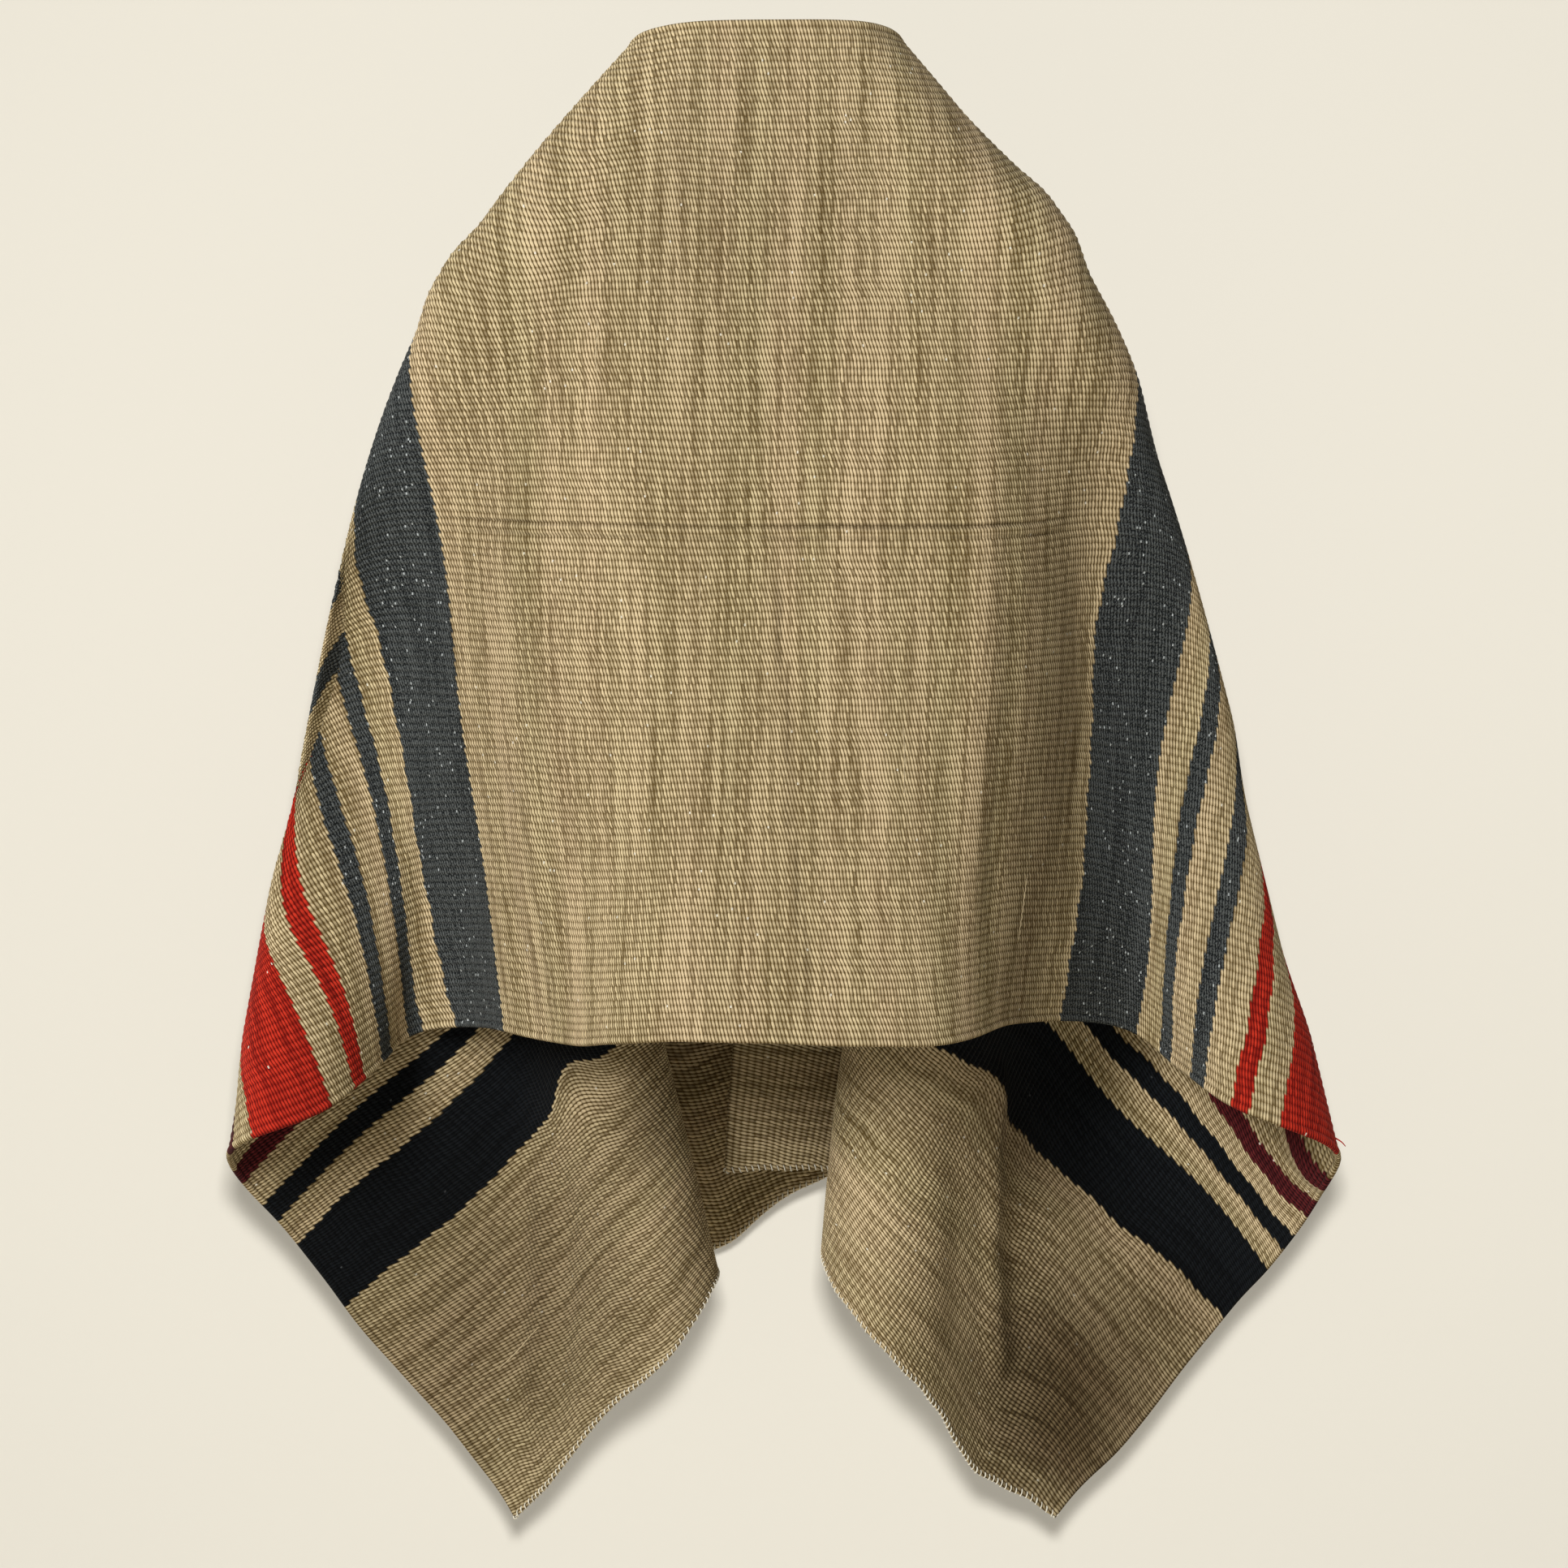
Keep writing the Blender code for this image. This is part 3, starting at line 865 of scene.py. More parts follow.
@dataclass
class Overcasting:
    """The white thread that whips over one cut end, a stitch for every rib."""

    side: Side
    cloth: Cloth
    bite: float = 3.4
    clear: float = 0.5
    thread: float = 0.5
    steps: int = 14
    margin: float = 2.2
    drift: float = 0.5
    uneven_reach: float = 0.12
    uneven_thread: float = 0.15
    proud: float = 0.55

    def path(self) -> Array:
        """Centre line of the thread: a flattened helix round the cut edge.

        The in-plane place swings between the bite and just past the edge, and the distance
        from the middle of the cloth swings between its two faces.
        """
        weave, fan = self.cloth.weave, self.cloth.fan
        rib = weave.rib(fan)
        turns = int((fan.width - 2 * self.margin) / rib)
        t = np.arange(turns * self.steps + 1) / self.steps
        down = t * rib
        v = self.margin + down + self.drift * waves(down, (83.0, 37.0), 11 + self.side.value)
        angle = 2 * math.pi * t
        reach = 1 + self.uneven_reach * waves(down, (29.0, 17.0, 11.0), 21 + self.side.value)
        centre = (self.bite - self.clear) / 2
        swing = (self.bite + self.clear) / 2
        inset = centre - swing * np.cos(angle) * reach
        u = self.side.value * (fan.half_length - inset)
        point, normal, along, _ = self.cloth.layout(np.clip(u, -fan.half_length, fan.half_length), v)
        past = np.maximum(np.abs(u) - fan.half_length, 0) * self.side.value
        off = (weave.crest + self.thread * self.proud) * np.sin(angle)
        return point + along * past[:, None] + normal * off[:, None]

    def build(self, finish: bpy.types.Material) -> bpy.types.Object:
        """The thread as a dressed object."""
        path = self.path()
        steps = np.arange(len(path)) * 1.0
        swell = 1 + self.uneven_thread * waves(steps, (9.0, 23.0, 5.5), 31)
        name = f"{self.side.name.lower()}_overcasting"
        return dress(name, tube(path, self.thread * swell), finish)


@dataclass
class ThreadEnds:
    """Knots at the corners where the sewing thread is tied off, and loose yarn ends."""

    cloth: Cloth
    knot_size: float = 2.5
    knot_depth: float = 1.6
    thread: float = 0.6
    inset: float = 1.5
    corner: float = 2.0
    droop: float = 0.35
    curl: float = 0.07
    taper: float = 0.55

    def knot(self, side: Side, v: float) -> MeshParts:
        """A small trefoil knot over a corner of the cloth.

        The path is (sin t + 2 sin 2t, cos t - 2 cos 2t, -sin 3t), with the last part times the
        knot's depth, scaled and set on the corner.
        """
        fan = self.cloth.fan
        u = np.array([side.value * (fan.half_length - self.inset)])
        point, normal, along, down = self.cloth.layout(u, np.array([v]))
        t = np.linspace(0, 2 * math.pi, 61)[:-1, None]
        loops = (np.sin(t) + 2 * np.sin(2 * t)) * along + (np.cos(t) - 2 * np.cos(2 * t)) * down
        path = point + self.knot_size / 3 * (loops - self.knot_depth * np.sin(3 * t) * normal)
        return tube(path, np.full(len(path), self.thread), 6)

    def strand(self, u: float, v: float, out: tuple[float, float, float], length: float,
               radius: float, face: Face) -> MeshParts:
        """A loose end of yarn that leaves the cloth and droops.

        Args:
            u: place along the blanket.
            v: place down from the top selvedge.
            out: parts of its direction along the blanket, down it and out of it.
            length: length of the loose end.
            radius: radius at the root.
            face: the face it leaves.

        Returns:
            The strand's arrays.
        """
        point, normal, along, down = self.cloth.layout(np.array([u]), np.array([v]))
        t = np.linspace(0, 1, 12)
        way = unit(out[0] * along + out[1] * down + out[2] * face.value * normal)
        sag = np.array([0.0, 0.0, -1.0])
        curl = np.cross(way, sag)
        path = point + way * (t * length)[:, None] + sag * (t ** 2 * length * self.droop)[:, None]
        path = path + curl * (np.sin(t * 7) * length * self.curl)[:, None]
        return tube(path, radius * (1 - self.taper * t), 6)

    def build_knots(self, finish: bpy.types.Material) -> bpy.types.Object:
        """All four corner knots as one dressed object."""
        low = self.cloth.fan.width - self.corner
        parts = [self.knot(side, v) for side in Side for v in (self.corner, low)]
        return dress("corner_knots", joined(parts), finish)


Socket = bpy.types.NodeSocket
Value = float | Socket


class Graph:
    """Short calls that add nodes to a node tree and link them."""

    def __init__(self, tree: bpy.types.NodeTree) -> None:
        """Keep the tree that the nodes go into."""
        self.tree = tree

    def node(self, kind: str, **settings: object) -> bpy.types.Node:
        """A new node with the given settings."""
        made = self.tree.nodes.new(kind)
        for key, value in settings.items():
            setattr(made, key, value)
        return made

    def feed(self, socket: Socket, value: Value | tuple[float, ...]) -> None:
        """Link a socket to another, or set its plain value."""
        if isinstance(value, bpy.types.NodeSocket):
            self.tree.links.new(value, socket)
        else:
            socket.default_value = value

    def maths(self, operation: str, *values: Value, clamp: bool = False) -> Socket:
        """One arithmetic step."""
        made = self.node("ShaderNodeMath", operation=operation, use_clamp=clamp)
        for socket, value in zip(made.inputs, values):
            self.feed(socket, value)
        return made.outputs[0]

    def vector(self, x: Value, y: Value, z: Value = 0.0) -> Socket:
        """A vector from three values."""
        made = self.node("ShaderNodeCombineXYZ")
        for socket, value in zip(made.inputs, (x, y, z)):
            self.feed(socket, value)
        return made.outputs[0]

    def noise(self, place: Socket) -> Socket:
        """Smooth noise of about one cell for each unit of the given place."""
        made = self.node("ShaderNodeTexNoise", noise_dimensions="2D")
        self.feed(made.inputs["Vector"], place)
        made.inputs["Scale"].default_value = 1.0
        made.inputs["Detail"].default_value = 0.0
        return made.outputs["Fac"]

    def chance(self, x: Value, y: Value, seed: float = 0.0) -> Socket:
        """A random value for each whole cell."""
        made = self.node("ShaderNodeTexWhiteNoise", noise_dimensions="3D")
        self.feed(made.inputs["Vector"], self.vector(x, y, seed))
        return made.outputs["Value"]

    def mix(self, share: Value, first: Value | tuple, second: Value | tuple, blend: str = "MIX") -> Socket:
        """A blend of two colours."""
        made = self.node("ShaderNodeMix", data_type="RGBA", blend_type=blend)
        self.feed(made.inputs["Factor"], share)
        self.feed(made.inputs["A"], first)
        self.feed(made.inputs["B"], second)
        return made.outputs["Result"]

    def bump(self, shader: bpy.types.Node, height: Socket, strength: float, rise: float) -> None:
        """Raise a shader's surface by a height, up to the rise in metres."""
        made = self.node("ShaderNodeBump")
        made.inputs["Strength"].default_value = strength
        made.inputs["Distance"].default_value = rise
        self.feed(made.inputs["Height"], height)
        self.feed(shader.inputs["Normal"], made.outputs[0])


def new_material(name: str) -> tuple[bpy.types.Material, Graph, bpy.types.Node]:
    """A new material, the graph of its nodes and its shader."""
    material = bpy.data.materials.new(name)
    material.use_nodes = True
    tree = material.node_tree
    return material, Graph(tree), tree.nodes["Principled BSDF"]


def group_tree(name: str, inputs: list[str], outputs: list[str],
               fill: Callable[[Graph, dict[str, Socket]], dict[str, Socket]]) -> bpy.types.NodeTree:
    """Build a shader node group once.

    Args:
        name: its name.
        inputs: names of its value inputs.
        outputs: names of its value outputs.
        fill: makes the nodes, from the inputs by name, and gives the outputs by name.

    Returns:
        The group's tree.
    """
    tree = bpy.data.node_groups.new(name, "ShaderNodeTree")
    for key in inputs:
        tree.interface.new_socket(key, in_out="INPUT", socket_type="NodeSocketFloat")
    for key in outputs:
        tree.interface.new_socket(key, in_out="OUTPUT", socket_type="NodeSocketFloat")
    graph = Graph(tree)
    entry = graph.node("NodeGroupInput")
    leave = graph.node("NodeGroupOutput")
    made = fill(graph, {key: entry.outputs[key] for key in inputs})
    for key, socket in made.items():
        tree.links.new(socket, leave.inputs[key])
    return tree


def use_group(graph: Graph, tree: bpy.types.NodeTree, **values: Value) -> dict[str, Socket]:
    """Place a group in a material and give its outputs by name."""
    made = graph.node("ShaderNodeGroup", node_tree=tree)
    for key, value in values.items():
        graph.feed(made.inputs[key], value)
    return {socket.name: socket for socket in made.outputs}


@dataclass(frozen=True)
class Yarn:
    """Colours of one dyed or natural yarn and how uneven it is."""

    # Between dark and light go the dye streaks and the painted shade that darkens each float from its crest to
    # the gaps.
    dark: tuple[float, float, float]
    light: tuple[float, float, float]
    streak: float
    fibre: float
    fleck: float
    fleck_colour: tuple[float, float, float] = (0.72, 0.68, 0.58)


@dataclass(frozen=True)
class Drawn:
    """Noise drawn out along the weft: size of its cells along and across the blanket, and seed."""

    wide: float
    long: float
    seed: float


BROAD = Drawn(26.0, 600.0, 5.0)
MIDDLE = Drawn(8.0, 320.0, 17.0)
FINE = Drawn(2.6, 160.0, 31.0)
FIBRE = Drawn(0.8, 1.5, 8.0)


@dataclass(frozen=True)
class Stripe:
    """A band of one yarn on both halves of the blanket, in millimetres from centre back."""

    yarn: str
    start: float
    end: float


YARNS: dict[str, Yarn] = {
    "tan": Yarn((0.110, 0.070, 0.023), (0.655, 0.532, 0.330), 0.30, 0.12, 0.0008),
    "grey": Yarn((0.008, 0.010, 0.011), (0.092, 0.100, 0.098), 0.14, 2.4, 0.009, (0.42, 0.45, 0.45)),
    "red": Yarn((0.130, 0.003, 0.002), (0.560, 0.034, 0.016), 0.25, 0.15, 0.0005),
    "maroon": Yarn((0.018, 0.002, 0.003), (0.120, 0.016, 0.018), 0.22, 0.15, 0.0005),
    "black": Yarn((0.0012, 0.0016, 0.0022), (0.0085, 0.0105, 0.0130), 0.20, 0.20, 0.0004, (0.06, 0.065, 0.07)),
}

STRIPES: list[Stripe] = [
    Stripe("grey", 262, 331),
    Stripe("grey", 357, 372),
    Stripe("grey", 399, 415),
    Stripe("red", 442, 457),
    Stripe("red", 482, 546),
    Stripe("maroon", 571, 586),
    Stripe("maroon", 613, 629),
    Stripe("black", 652, 669),
    Stripe("black", 694, 758),
]


WHITE = (1.0, 1.0, 1.0, 1.0)
PAINTED_SHADE_BROWN = (0.10, 0.07, 0.035, 1.0)
COOL_TINT = (0.985, 1.0, 0.95, 1.0)
WARM_TINT = (1.02, 0.99, 0.985, 1.0)

MATT_WOOL: dict[str, float | tuple[float, ...]] = {
    "Roughness": 0.92,
    "Specular IOR Level": 0.08,
    "Sheen Weight": 0.04,
    "Sheen Roughness": 0.5,
    "Sheen Tint": (0.95, 0.92, 0.85, 1.0),
}


@dataclass
class WoolShading:
    """Node groups that all the wool shares, worked out on the flat cloth in millimetres."""

    fan: Fan
    weave: Weave
    lean: float = 0.25
    reach: float = 0.64
    roundness: float = 1.3
    blur: float = 0.4
    apart: float = 0.83
    run_on: float = 0.05
    contrast: float = 2.6
    own_share: float = 0.45
    fine_share: float = 1.2
    broad_share: float = 0.9
    fleck_size: tuple[float, float] = (1.1, 1.7)
    tone_gain: float = 0.95
    tone_least: float = 0.64
    # Painted shade in the gaps between floats.
    gap_shade: float = -0.22
    warmth: float = 1.8

    def __post_init__(self) -> None:
        """Build each group once."""
        self.picks = group_tree(
            "woven picks", ["U", "V"], ["Height", "Tone", "Across"], self.fill_picks)
        self.streaks = group_tree(
            "dye streaks", ["U", "V"], ["Streak", "Fibre", "Broad", "Chance"], self.fill_streaks)
        self.band = group_tree(
            "stripe mask", ["Place", "Start", "End"], ["Mask"], self.fill_band)
        self.yarn = group_tree(
            "yarn colour",
            ["Streak", "Fibre", "Height", "Chance", "Streak Share", "Fibre Share", "Fleck Share"],
            ["Lightness", "Fleck"], self.fill_yarn)

    def lattice(self, g: Graph, at: dict[str, Socket], odd: int) -> tuple[Socket, Socket, Socket, Socket]:
        """Lens-shaped floats of yarn on every second rib, leaning a little.

        Height is the root of one less the squares of the places along and across the float,
        and a float reaches past its rib, so those of two neighbours interlock.

        Args:
            g: the graph.
            at: the group's inputs.
            odd: 1 for the ribs between, which are half a pick on.

        Returns:
            Height, pick number, rib number and place across the float.
        """
        rib = self.weave.rib(self.fan)
        place = g.maths("DIVIDE", g.maths("SUBTRACT", at["V"], 2 * self.weave.cord_radius), 2 * rib)
        place = g.maths("SUBTRACT", place, (odd + 0.5) / 2)
        number = g.maths("ROUND", place)
        off = g.maths("MULTIPLY", g.maths("SUBTRACT", place, number), 2.0)
        pick = g.maths("MULTIPLY_ADD", at["U"], 1 / self.weave.pick, 0.5 * odd)
        pick = g.maths("MULTIPLY_ADD", off, -self.lean * rib / self.weave.pick, pick)
        cell = g.maths("FLOOR", pick)
        across = g.maths("MULTIPLY_ADD", g.maths("SUBTRACT", pick, cell), 2.0, -1.0)
        long = g.maths("DIVIDE", off, self.reach)
        body = g.maths("MULTIPLY_ADD", g.maths("MULTIPLY", long, long), -1.0, 1.0)
        body = g.maths("MULTIPLY_ADD", g.maths("MULTIPLY", across, across), -self.roundness, body)
        height = g.maths("SQRT", g.maths("MAXIMUM", body, 0.0))
        return height, cell, g.maths("MULTIPLY_ADD", number, 2.0, float(odd)), across

    def fill_picks(self, g: Graph, at: dict[str, Socket]) -> dict[str, Socket]:
        """The higher of the two lattices of floats, and a tone for each.

        A little less than half of the tone is the float's own, and the rest runs on along the
        pick from rib to rib.
        """
        even = self.lattice(g, at, 0)
        odd = self.lattice(g, at, 1)
        second = g.maths("GREATER_THAN", odd[0], even[0])
        height, cell, rib, across = (
            g.maths("MULTIPLY_ADD", second, g.maths("SUBTRACT", b, a), a) for a, b in zip(even, odd))
        place = g.vector(g.maths("MULTIPLY", cell, self.apart), g.maths("MULTIPLY", rib, self.run_on))
        along = g.maths("SUBTRACT", g.noise(place), 0.5)
        along = g.maths("MULTIPLY_ADD", along, self.contrast, 0.5, clamp=True)
        own = g.chance(cell, rib, 7.0)
        tone = g.maths("MULTIPLY_ADD", g.maths("SUBTRACT", own, along), self.own_share, along)
        return {"Height": height, "Tone": tone, "Across": across}

    def fill_streaks(self, g: Graph, at: dict[str, Socket]) -> dict[str, Socket]:
        """Dye streaks: noise drawn out along the weft at three widths, and fine fibre noise."""
        def drawn(size: Drawn) -> Socket:
            """Noise from -0.5 to 0.5 with cells of the given size."""
            across = g.maths("MULTIPLY_ADD", at["U"], 1 / size.wide, size.seed)
            place = g.vector(across, g.maths("DIVIDE", at["V"], size.long))
            return g.maths("SUBTRACT", g.noise(place), 0.5)

        broad = drawn(BROAD)
        streak = g.maths("MULTIPLY_ADD", drawn(FINE), self.fine_share, drawn(MIDDLE))
        streak = g.maths("MULTIPLY_ADD", broad, self.broad_share, streak)
        cell = [g.maths("FLOOR", g.maths("DIVIDE", at[key], size))
                for key, size in zip("UV", self.fleck_size)]
        return {"Streak": streak, "Fibre": drawn(FIBRE), "Broad": broad,
                "Chance": g.chance(*cell, 19.0)}

    def fill_band(self, g: Graph, at: dict[str, Socket]) -> dict[str, Socket]:
        """One between start and end, with an edge as soft as the yarn's fuzz."""
        sides = []
        for high, low in (("Place", "Start"), ("End", "Place")):
            inside = g.maths("DIVIDE", g.maths("SUBTRACT", at[high], at[low]), self.blur)
            sides.append(g.maths("ADD", inside, 0.5, clamp=True))
        return {"Mask": g.maths("MINIMUM", *sides)}

    def fill_yarn(self, g: Graph, at: dict[str, Socket]) -> dict[str, Socket]:
        """Lightness between the yarn's dark and light colour, from its streaks and the painted float shade
        that comes in as height, and its pale kemp fibres.
        """
        value = g.maths("MULTIPLY_ADD", at["Streak"], at["Streak Share"], at["Height"])
        value = g.maths("MULTIPLY_ADD", at["Fibre"], at["Fibre Share"], value, clamp=True)
        return {"Lightness": value, "Fleck": g.maths("LESS_THAN", at["Chance"], at["Fleck Share"])}

    def places(self, g: Graph) -> tuple[Socket, Socket]:
        """Millimetres along and down the flat cloth, read from the piece's UV map."""
        uv = g.node("ShaderNodeUVMap", uv_map="cloth")
        split = g.node("ShaderNodeSeparateXYZ")
        g.tree.links.new(uv.outputs[0], split.inputs[0])
        u = g.maths("MULTIPLY", g.maths("SUBTRACT", split.outputs[0], 0.5), 2 * self.fan.half_length)
        v = g.maths("MULTIPLY", split.outputs[1], self.fan.width)
        return u, v

    def blanket(self) -> bpy.types.Material:
        """The striped blanket wool, its stripes, streaks, floats, flecks and fuzz, with painted shade between
        the floats, along creases and in patches.
        """
        material, g, shader = new_material("blanket_wool")
        u, v = self.places(g)
        picks = use_group(g, self.picks, U=u, V=v)
        streaks = use_group(g, self.streaks, U=u, V=v)
        # Painted shade on every float: its colour darkens with its height, from the crest down to the gaps
        # between floats.
        shaded = g.maths("MULTIPLY_ADD", picks["Tone"], self.tone_gain, self.tone_least)
        shaded = g.maths("MULTIPLY_ADD", picks["Height"], shaded, self.gap_shade)
        place = g.maths("ABSOLUTE", g.maths("MULTIPLY_ADD", picks["Across"], -0.5 * self.weave.pick, u))
        colour: Socket | tuple = (0.0, 0.0, 0.0, 1.0)
        for name, yarn in YARNS.items():
            look = use_group(g, self.yarn, Streak=streaks["Streak"], Fibre=streaks["Fibre"],
                             Height=shaded, Chance=streaks["Chance"],
                             **{"Streak Share": yarn.streak, "Fibre Share": yarn.fibre,
                                "Fleck Share": yarn.fleck})
            own = g.mix(look["Lightness"], (*yarn.dark, 1.0), (*yarn.light, 1.0))
            own = g.mix(look["Fleck"], own, (*yarn.fleck_colour, 1.0))
            if name == "tan":
                warm = g.maths("MULTIPLY_ADD", streaks["Broad"], self.warmth, 0.5, clamp=True)
                colour = g.mix(1.0, own, g.mix(warm, COOL_TINT, WARM_TINT), "MULTIPLY")
                continue
            mask: Value = 0.0
            for stripe in (s for s in STRIPES if s.yarn == name):
                band = use_group(g, self.band, Place=place, Start=stripe.start, End=stripe.end)
                mask = band["Mask"] if mask == 0.0 else g.maths("MAXIMUM", mask, band["Mask"])
            colour = g.mix(mask, colour, own)
        # Painted shade: the shade attribute of each point darkens the wool colour towards a deep brown.
        shade_share = g.node("ShaderNodeAttribute", attribute_name="painted_shade").outputs["Fac"]
        darkened = g.mix(shade_share, WHITE, PAINTED_SHADE_BROWN)
        g.feed(shader.inputs["Base Color"], g.mix(1.0, colour, darkened, "MULTIPLY"))
        g.bump(shader, picks["Height"], strength=0.7, rise=0.0006)
        self.matt(shader)
        return material

    @staticmethod
    def matt(shader: bpy.types.Node) -> None:
        """Matt wool with the soft sheen of its fuzz."""
        for name, value in MATT_WOOL.items():
            shader.inputs[name].default_value = value

    def thread(self, name: str, colour: tuple[float, float, float], grain: float = 1400.0,
               lighter: float = 1.25, darker: float = 0.72) -> bpy.types.Material:
        """Plain twisted yarn or thread, mottled and a little rough.

        Args:
            name: the finish's name.
            colour: its middle colour.
            grain: cells of mottling to a metre.
            lighter: the lightest colour as a share of the middle one.
            darker: the darkest colour as a share of the middle one.

        Returns:
            The material.
        """
        material, g, shader = new_material(name)
        noise = g.node("ShaderNodeTexNoise")
        g.feed(noise.inputs["Vector"], g.node("ShaderNodeTexCoord").outputs["Object"])
        noise.inputs["Scale"].default_value = grain
        light = (*(min(1.0, c * lighter) for c in colour), 1.0)
        dark = (*(c * darker for c in colour), 1.0)
        g.feed(shader.inputs["Base Color"], g.mix(noise.outputs["Fac"], dark, light))
        g.bump(shader, noise.outputs["Fac"], strength=0.5, rise=0.0003)
        self.matt(shader)
        return material


@dataclass(frozen=True)
class Lamp:
    """A soft rectangular light: where it stands, its size in metres and its power in watts."""

    name: str
    place: tuple[float, float, float]
    size: tuple[float, float]
    power: float


KEY = Lamp("key", (-2.32, -4.01, 1.32), (1.3, 2.4), 250.0)
FRONT_KEY = Lamp("front_key", (0.9, 4.2, 1.2), (1.8, 1.8), 150.0)
BACKDROP_LAMP = Lamp("backdrop_lamp", (0.0006, -3.105, -0.18), (0.26, 0.26), 195.0)
AIR_COLOUR = (0.93, 0.89, 0.82, 1.0)


@dataclass
class Studio:
    """Pale floor and backdrop, soft light and the camera, in metres.

    The key light shades the cloth. A lamp above the camera lights the backdrop alone, so the
    garment's shadow there falls straight down.
    """

    scale: float = 0.00059
    picture: int = 1932
    distance: float = 3.0
    sensor: float = 36.0
    eye_height: float = -0.555
    eye_across: float = 0.0006
    back_plane: float = -0.105
    backdrop: float = 0.262
    floor: float = -1.36
    cream: tuple[float, float, float] = (0.880, 0.835, 0.727)
    paint: float = 0.34
    floor_paint: float = 0.9
    glow: float = 0.30
    air: float = 0.20
    half_width: float = 1.6
    top: float = 1.0
    floor_reach: float = 4.0

    def camera(self) -> None:
        """Camera square to the back, as far off as the photograph's perspective shows."""
        data = bpy.data.cameras.new("camera")
        data.sensor_width = self.sensor
        data.lens = self.sensor * self.distance / (self.scale * self.picture)
        item = linked("camera", data)
        item.location = (self.eye_across, self.back_plane - self.distance, self.eye_height)
        item.rotation_euler = (math.radians(90), 0, 0)
        bpy.context.scene.camera = item

    def tone(self, share: float) -> tuple[float, float, float, float]:
        """The cream colour at a share of its strength."""
        return (*(share * c for c in self.cream), 1.0)

    def pale(self, name: str, share: float, glow: float, one_sided: bool) -> bpy.types.Material:
        """Matt cream paint. A one-sided backdrop is clear from behind."""
        material, g, shader = new_material(name)
        shader.inputs["Base Color"].default_value = self.tone(share)
        shader.inputs["Roughness"].default_value = 1.0
        shader.inputs["Specular IOR Level"].default_value = 0.0
        shader.inputs["Emission Color"].default_value = self.tone(1.0)
        shader.inputs["Emission Strength"].default_value = glow
        if one_sided:
            clear = g.node("ShaderNodeBsdfTransparent")
            mixed = g.node("ShaderNodeMixShader")
            g.tree.links.new(g.node("ShaderNodeNewGeometry").outputs["Backfacing"], mixed.inputs[0])
            g.tree.links.new(shader.outputs[0], mixed.inputs[1])
            g.tree.links.new(clear.outputs[0], mixed.inputs[2])
            g.tree.links.new(mixed.outputs[0], material.node_tree.nodes["Material Output"].inputs[0])
        return material

    def plane(self, name: str, corners: list[tuple[float, float, float]],
              paint: bpy.types.Material) -> bpy.types.Object:
        """A flat stage piece through four corners."""
        mesh = bpy.data.meshes.new(name)
        mesh.from_pydata(corners, [], [(0, 1, 2, 3)])
        item = linked(name, mesh)
        item.data.materials.append(paint)
        return item

    def light(self, lamp: Lamp, lit: list[bpy.types.Object]) -> None:
        """A lamp that faces the middle of the garment and lights some pieces.

        Args:
            lamp: the light's place, size and power.
            lit: the objects that receive it.
        """
        data = bpy.data.lights.new(lamp.name, "AREA")
        data.shape = "RECTANGLE"
        data.size, data.size_y = lamp.size
        data.energy = lamp.power
        item = linked(lamp.name, data)
        item.location = lamp.place
        aim = np.array([0.0, 0.0, self.eye_height]) - np.array(lamp.place)
        item.rotation_euler = (math.atan2(math.hypot(aim[0], aim[1]), -aim[2]), 0,
                               math.atan2(aim[1], aim[0]) - math.pi / 2)
        receivers = bpy.data.collections.new(lamp.name + "_lights")
        for one in lit:
            receivers.objects.link(one)
        item.light_linking.receiver_collection = receivers

    def build(self, dressed: list[bpy.types.Object]) -> None:
        """Set the whole stage round the dressed pieces."""
        wide, far, low, high = self.half_width, self.floor_reach, self.floor, self.top
        back = self.plane("backdrop", [(-wide, self.backdrop, low), (wide, self.backdrop, low),
                                       (wide, self.backdrop, high), (-wide, self.backdrop, high)],
                          self.pale("backdrop_paint", self.paint, self.glow, True))
        floor = self.plane("floor", [(-far, -far, low), (far, -far, low),
                                     (far, far, low), (-far, far, low)],
                           self.pale("floor_paint", self.floor_paint, 0.0, False))
        self.light(KEY, [*dressed, floor])
        self.light(FRONT_KEY, [*dressed, floor])
        self.light(BACKDROP_LAMP, [back])
        world = bpy.data.worlds.new("studio")
        bpy.context.scene.world = world
        world.use_nodes = True
        surface = world.node_tree.nodes["Background"]
        surface.inputs["Color"].default_value = AIR_COLOUR
        surface.inputs["Strength"].default_value = self.air
        bpy.context.scene.view_settings.view_transform = "Standard"
        self.camera()


STRETCHES: list[tuple[str, str, float, float]] = [
    ("back_cloth", "back_stretch", -407.0, 407.0),
    ("left_arm_cloth", "left_arm_stretch", -963.0, -407.0),
    ("right_arm_cloth", "right_arm_stretch", 407.0, 963.0),
    ("left_front_cloth", "left_front_end", -1718.0, -963.0),
    ("right_front_cloth", "right_front_end", 963.0, 1718.0),
]


def triangles(item: bpy.types.Object) -> int:
    """Number of triangles of a piece."""
    sizes = np.empty(len(item.data.polygons), np.int32)
    item.data.polygons.foreach_get("loop_total", sizes)
    return int((sizes - 2).sum())


def report(item: bpy.types.Object) -> None:
    """Log a finished piece."""
    LOG.info("%s: %d triangles", item.name, triangles(item))


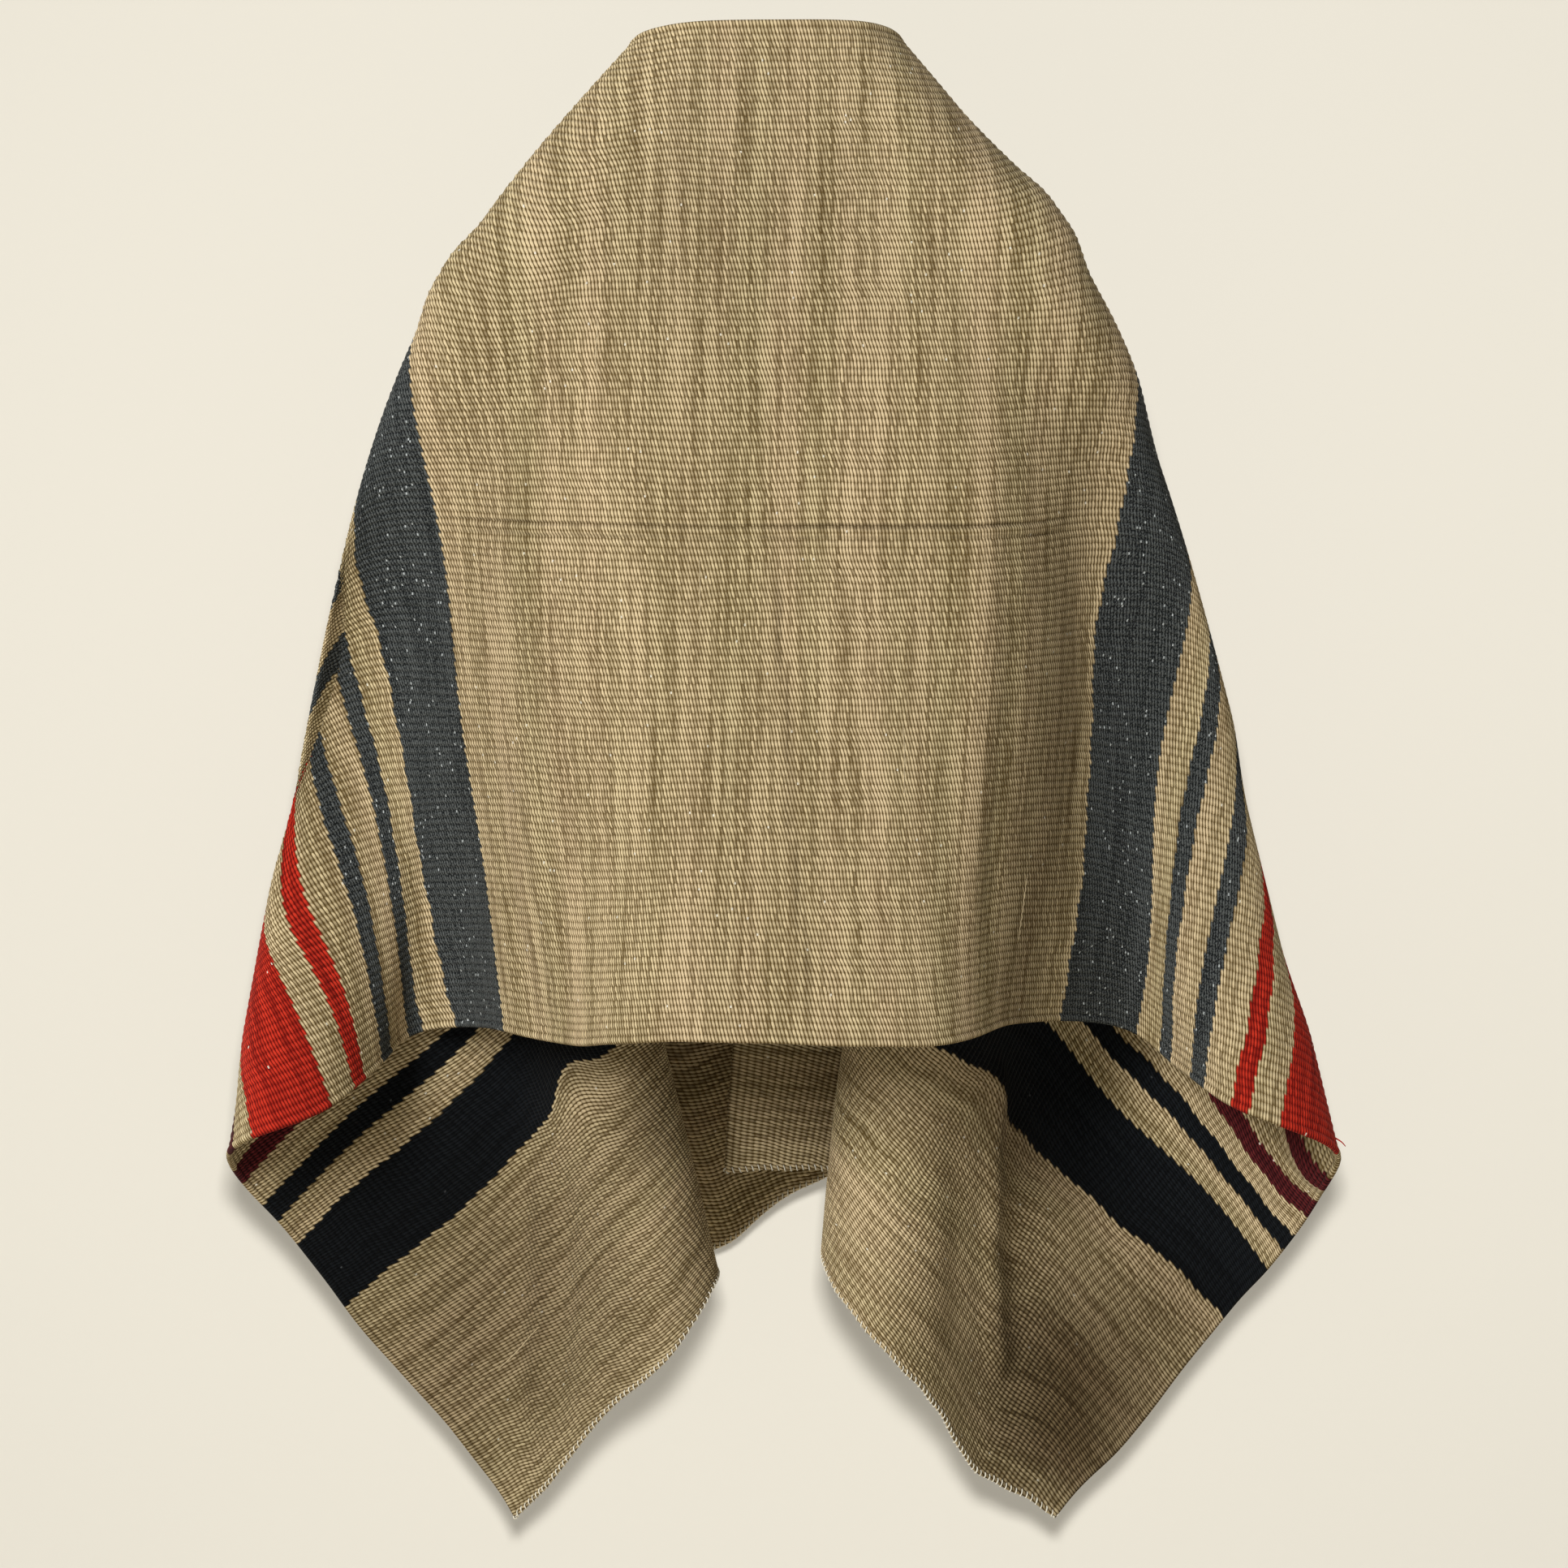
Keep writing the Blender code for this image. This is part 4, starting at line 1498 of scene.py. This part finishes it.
@dataclass(frozen=True)
class Slub:
    """A thick pale length of weft along one pick, in millimetres on the flat cloth."""

    u: float
    first: float
    last: float
    face: Face = Face.OUTER
    radius: float = 0.42
    step: float = 1.3
    tip: float = 0.15

    def parts(self, cloth: Cloth) -> MeshParts:
        """A tube on the cloth's face, thick in the middle: a flattened sine along its length."""
        v = np.arange(self.first, self.last, self.step)
        points, _ = cloth.skins(np.full_like(v, self.u), v)
        outer, inner = points
        angle = np.linspace(self.tip, math.pi - self.tip, len(v))
        side = outer if self.face is Face.OUTER else inner
        return tube(side, self.radius * np.sin(angle) ** 0.4, 5)


SLUBS: list[Slub] = [
    Slub(893, 30, 150),
    Slub(911, 20, 120),
    Slub(-869, 640, 700, Face.INNER),
    Slub(880, 560, 610, Face.INNER),
    Slub(-61, 402, 450),
    Slub(88, 520, 575),
    Slub(-131, 225, 270),
    Slub(206, 640, 690),
]


def main() -> None:
    """Build the blanket, its sewing and the studio."""
    logging.basicConfig(level=logging.INFO, format="%(name)s %(message)s")
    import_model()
    fan = Fan()
    weave = Weave()
    cloth = Cloth(fan, weave)
    shading = WoolShading(fan, weave)
    wool = shading.blanket()
    dressed: list[bpy.types.Object] = []
    for name, node, first, last in STRETCHES:
        stretch = ClothStretch(name, node, first, last, cloth)
        item = stretch.build(wool)
        low, high = stretch.limits(np.array([0.0, fan.width]))
        stretch.flat_area()
        dressed.append(item)
    white = shading.thread("white_thread", (0.78, 0.74, 0.62))
    red = shading.thread("red_yarn", (0.55, 0.03, 0.015))
    tan = shading.thread("tan_yarn", (0.52, 0.42, 0.26))
    ends = ThreadEnds(cloth)
    dressed += [Overcasting(side, cloth).build(white) for side in Side]
    dressed.append(ends.build_knots(white))
    red_end = ends.strand(541, 745, (0.9, 0.2, 0.9), 11, 0.75, Face.OUTER)
    tan_end = ends.strand(-72, 44, (-0.8, -0.6, 0.8), 6, 0.5, Face.OUTER)
    dressed.append(dress("red_yarn_end", red_end, red))
    dressed.append(dress("tan_yarn_end", tan_end, tan))
    dressed.append(dress("pale_slubs", joined([slub.parts(cloth) for slub in SLUBS]), tan))
    for item in dressed:
        report(item)
    Studio().build(dressed)


if __name__ == "__main__":
    main()
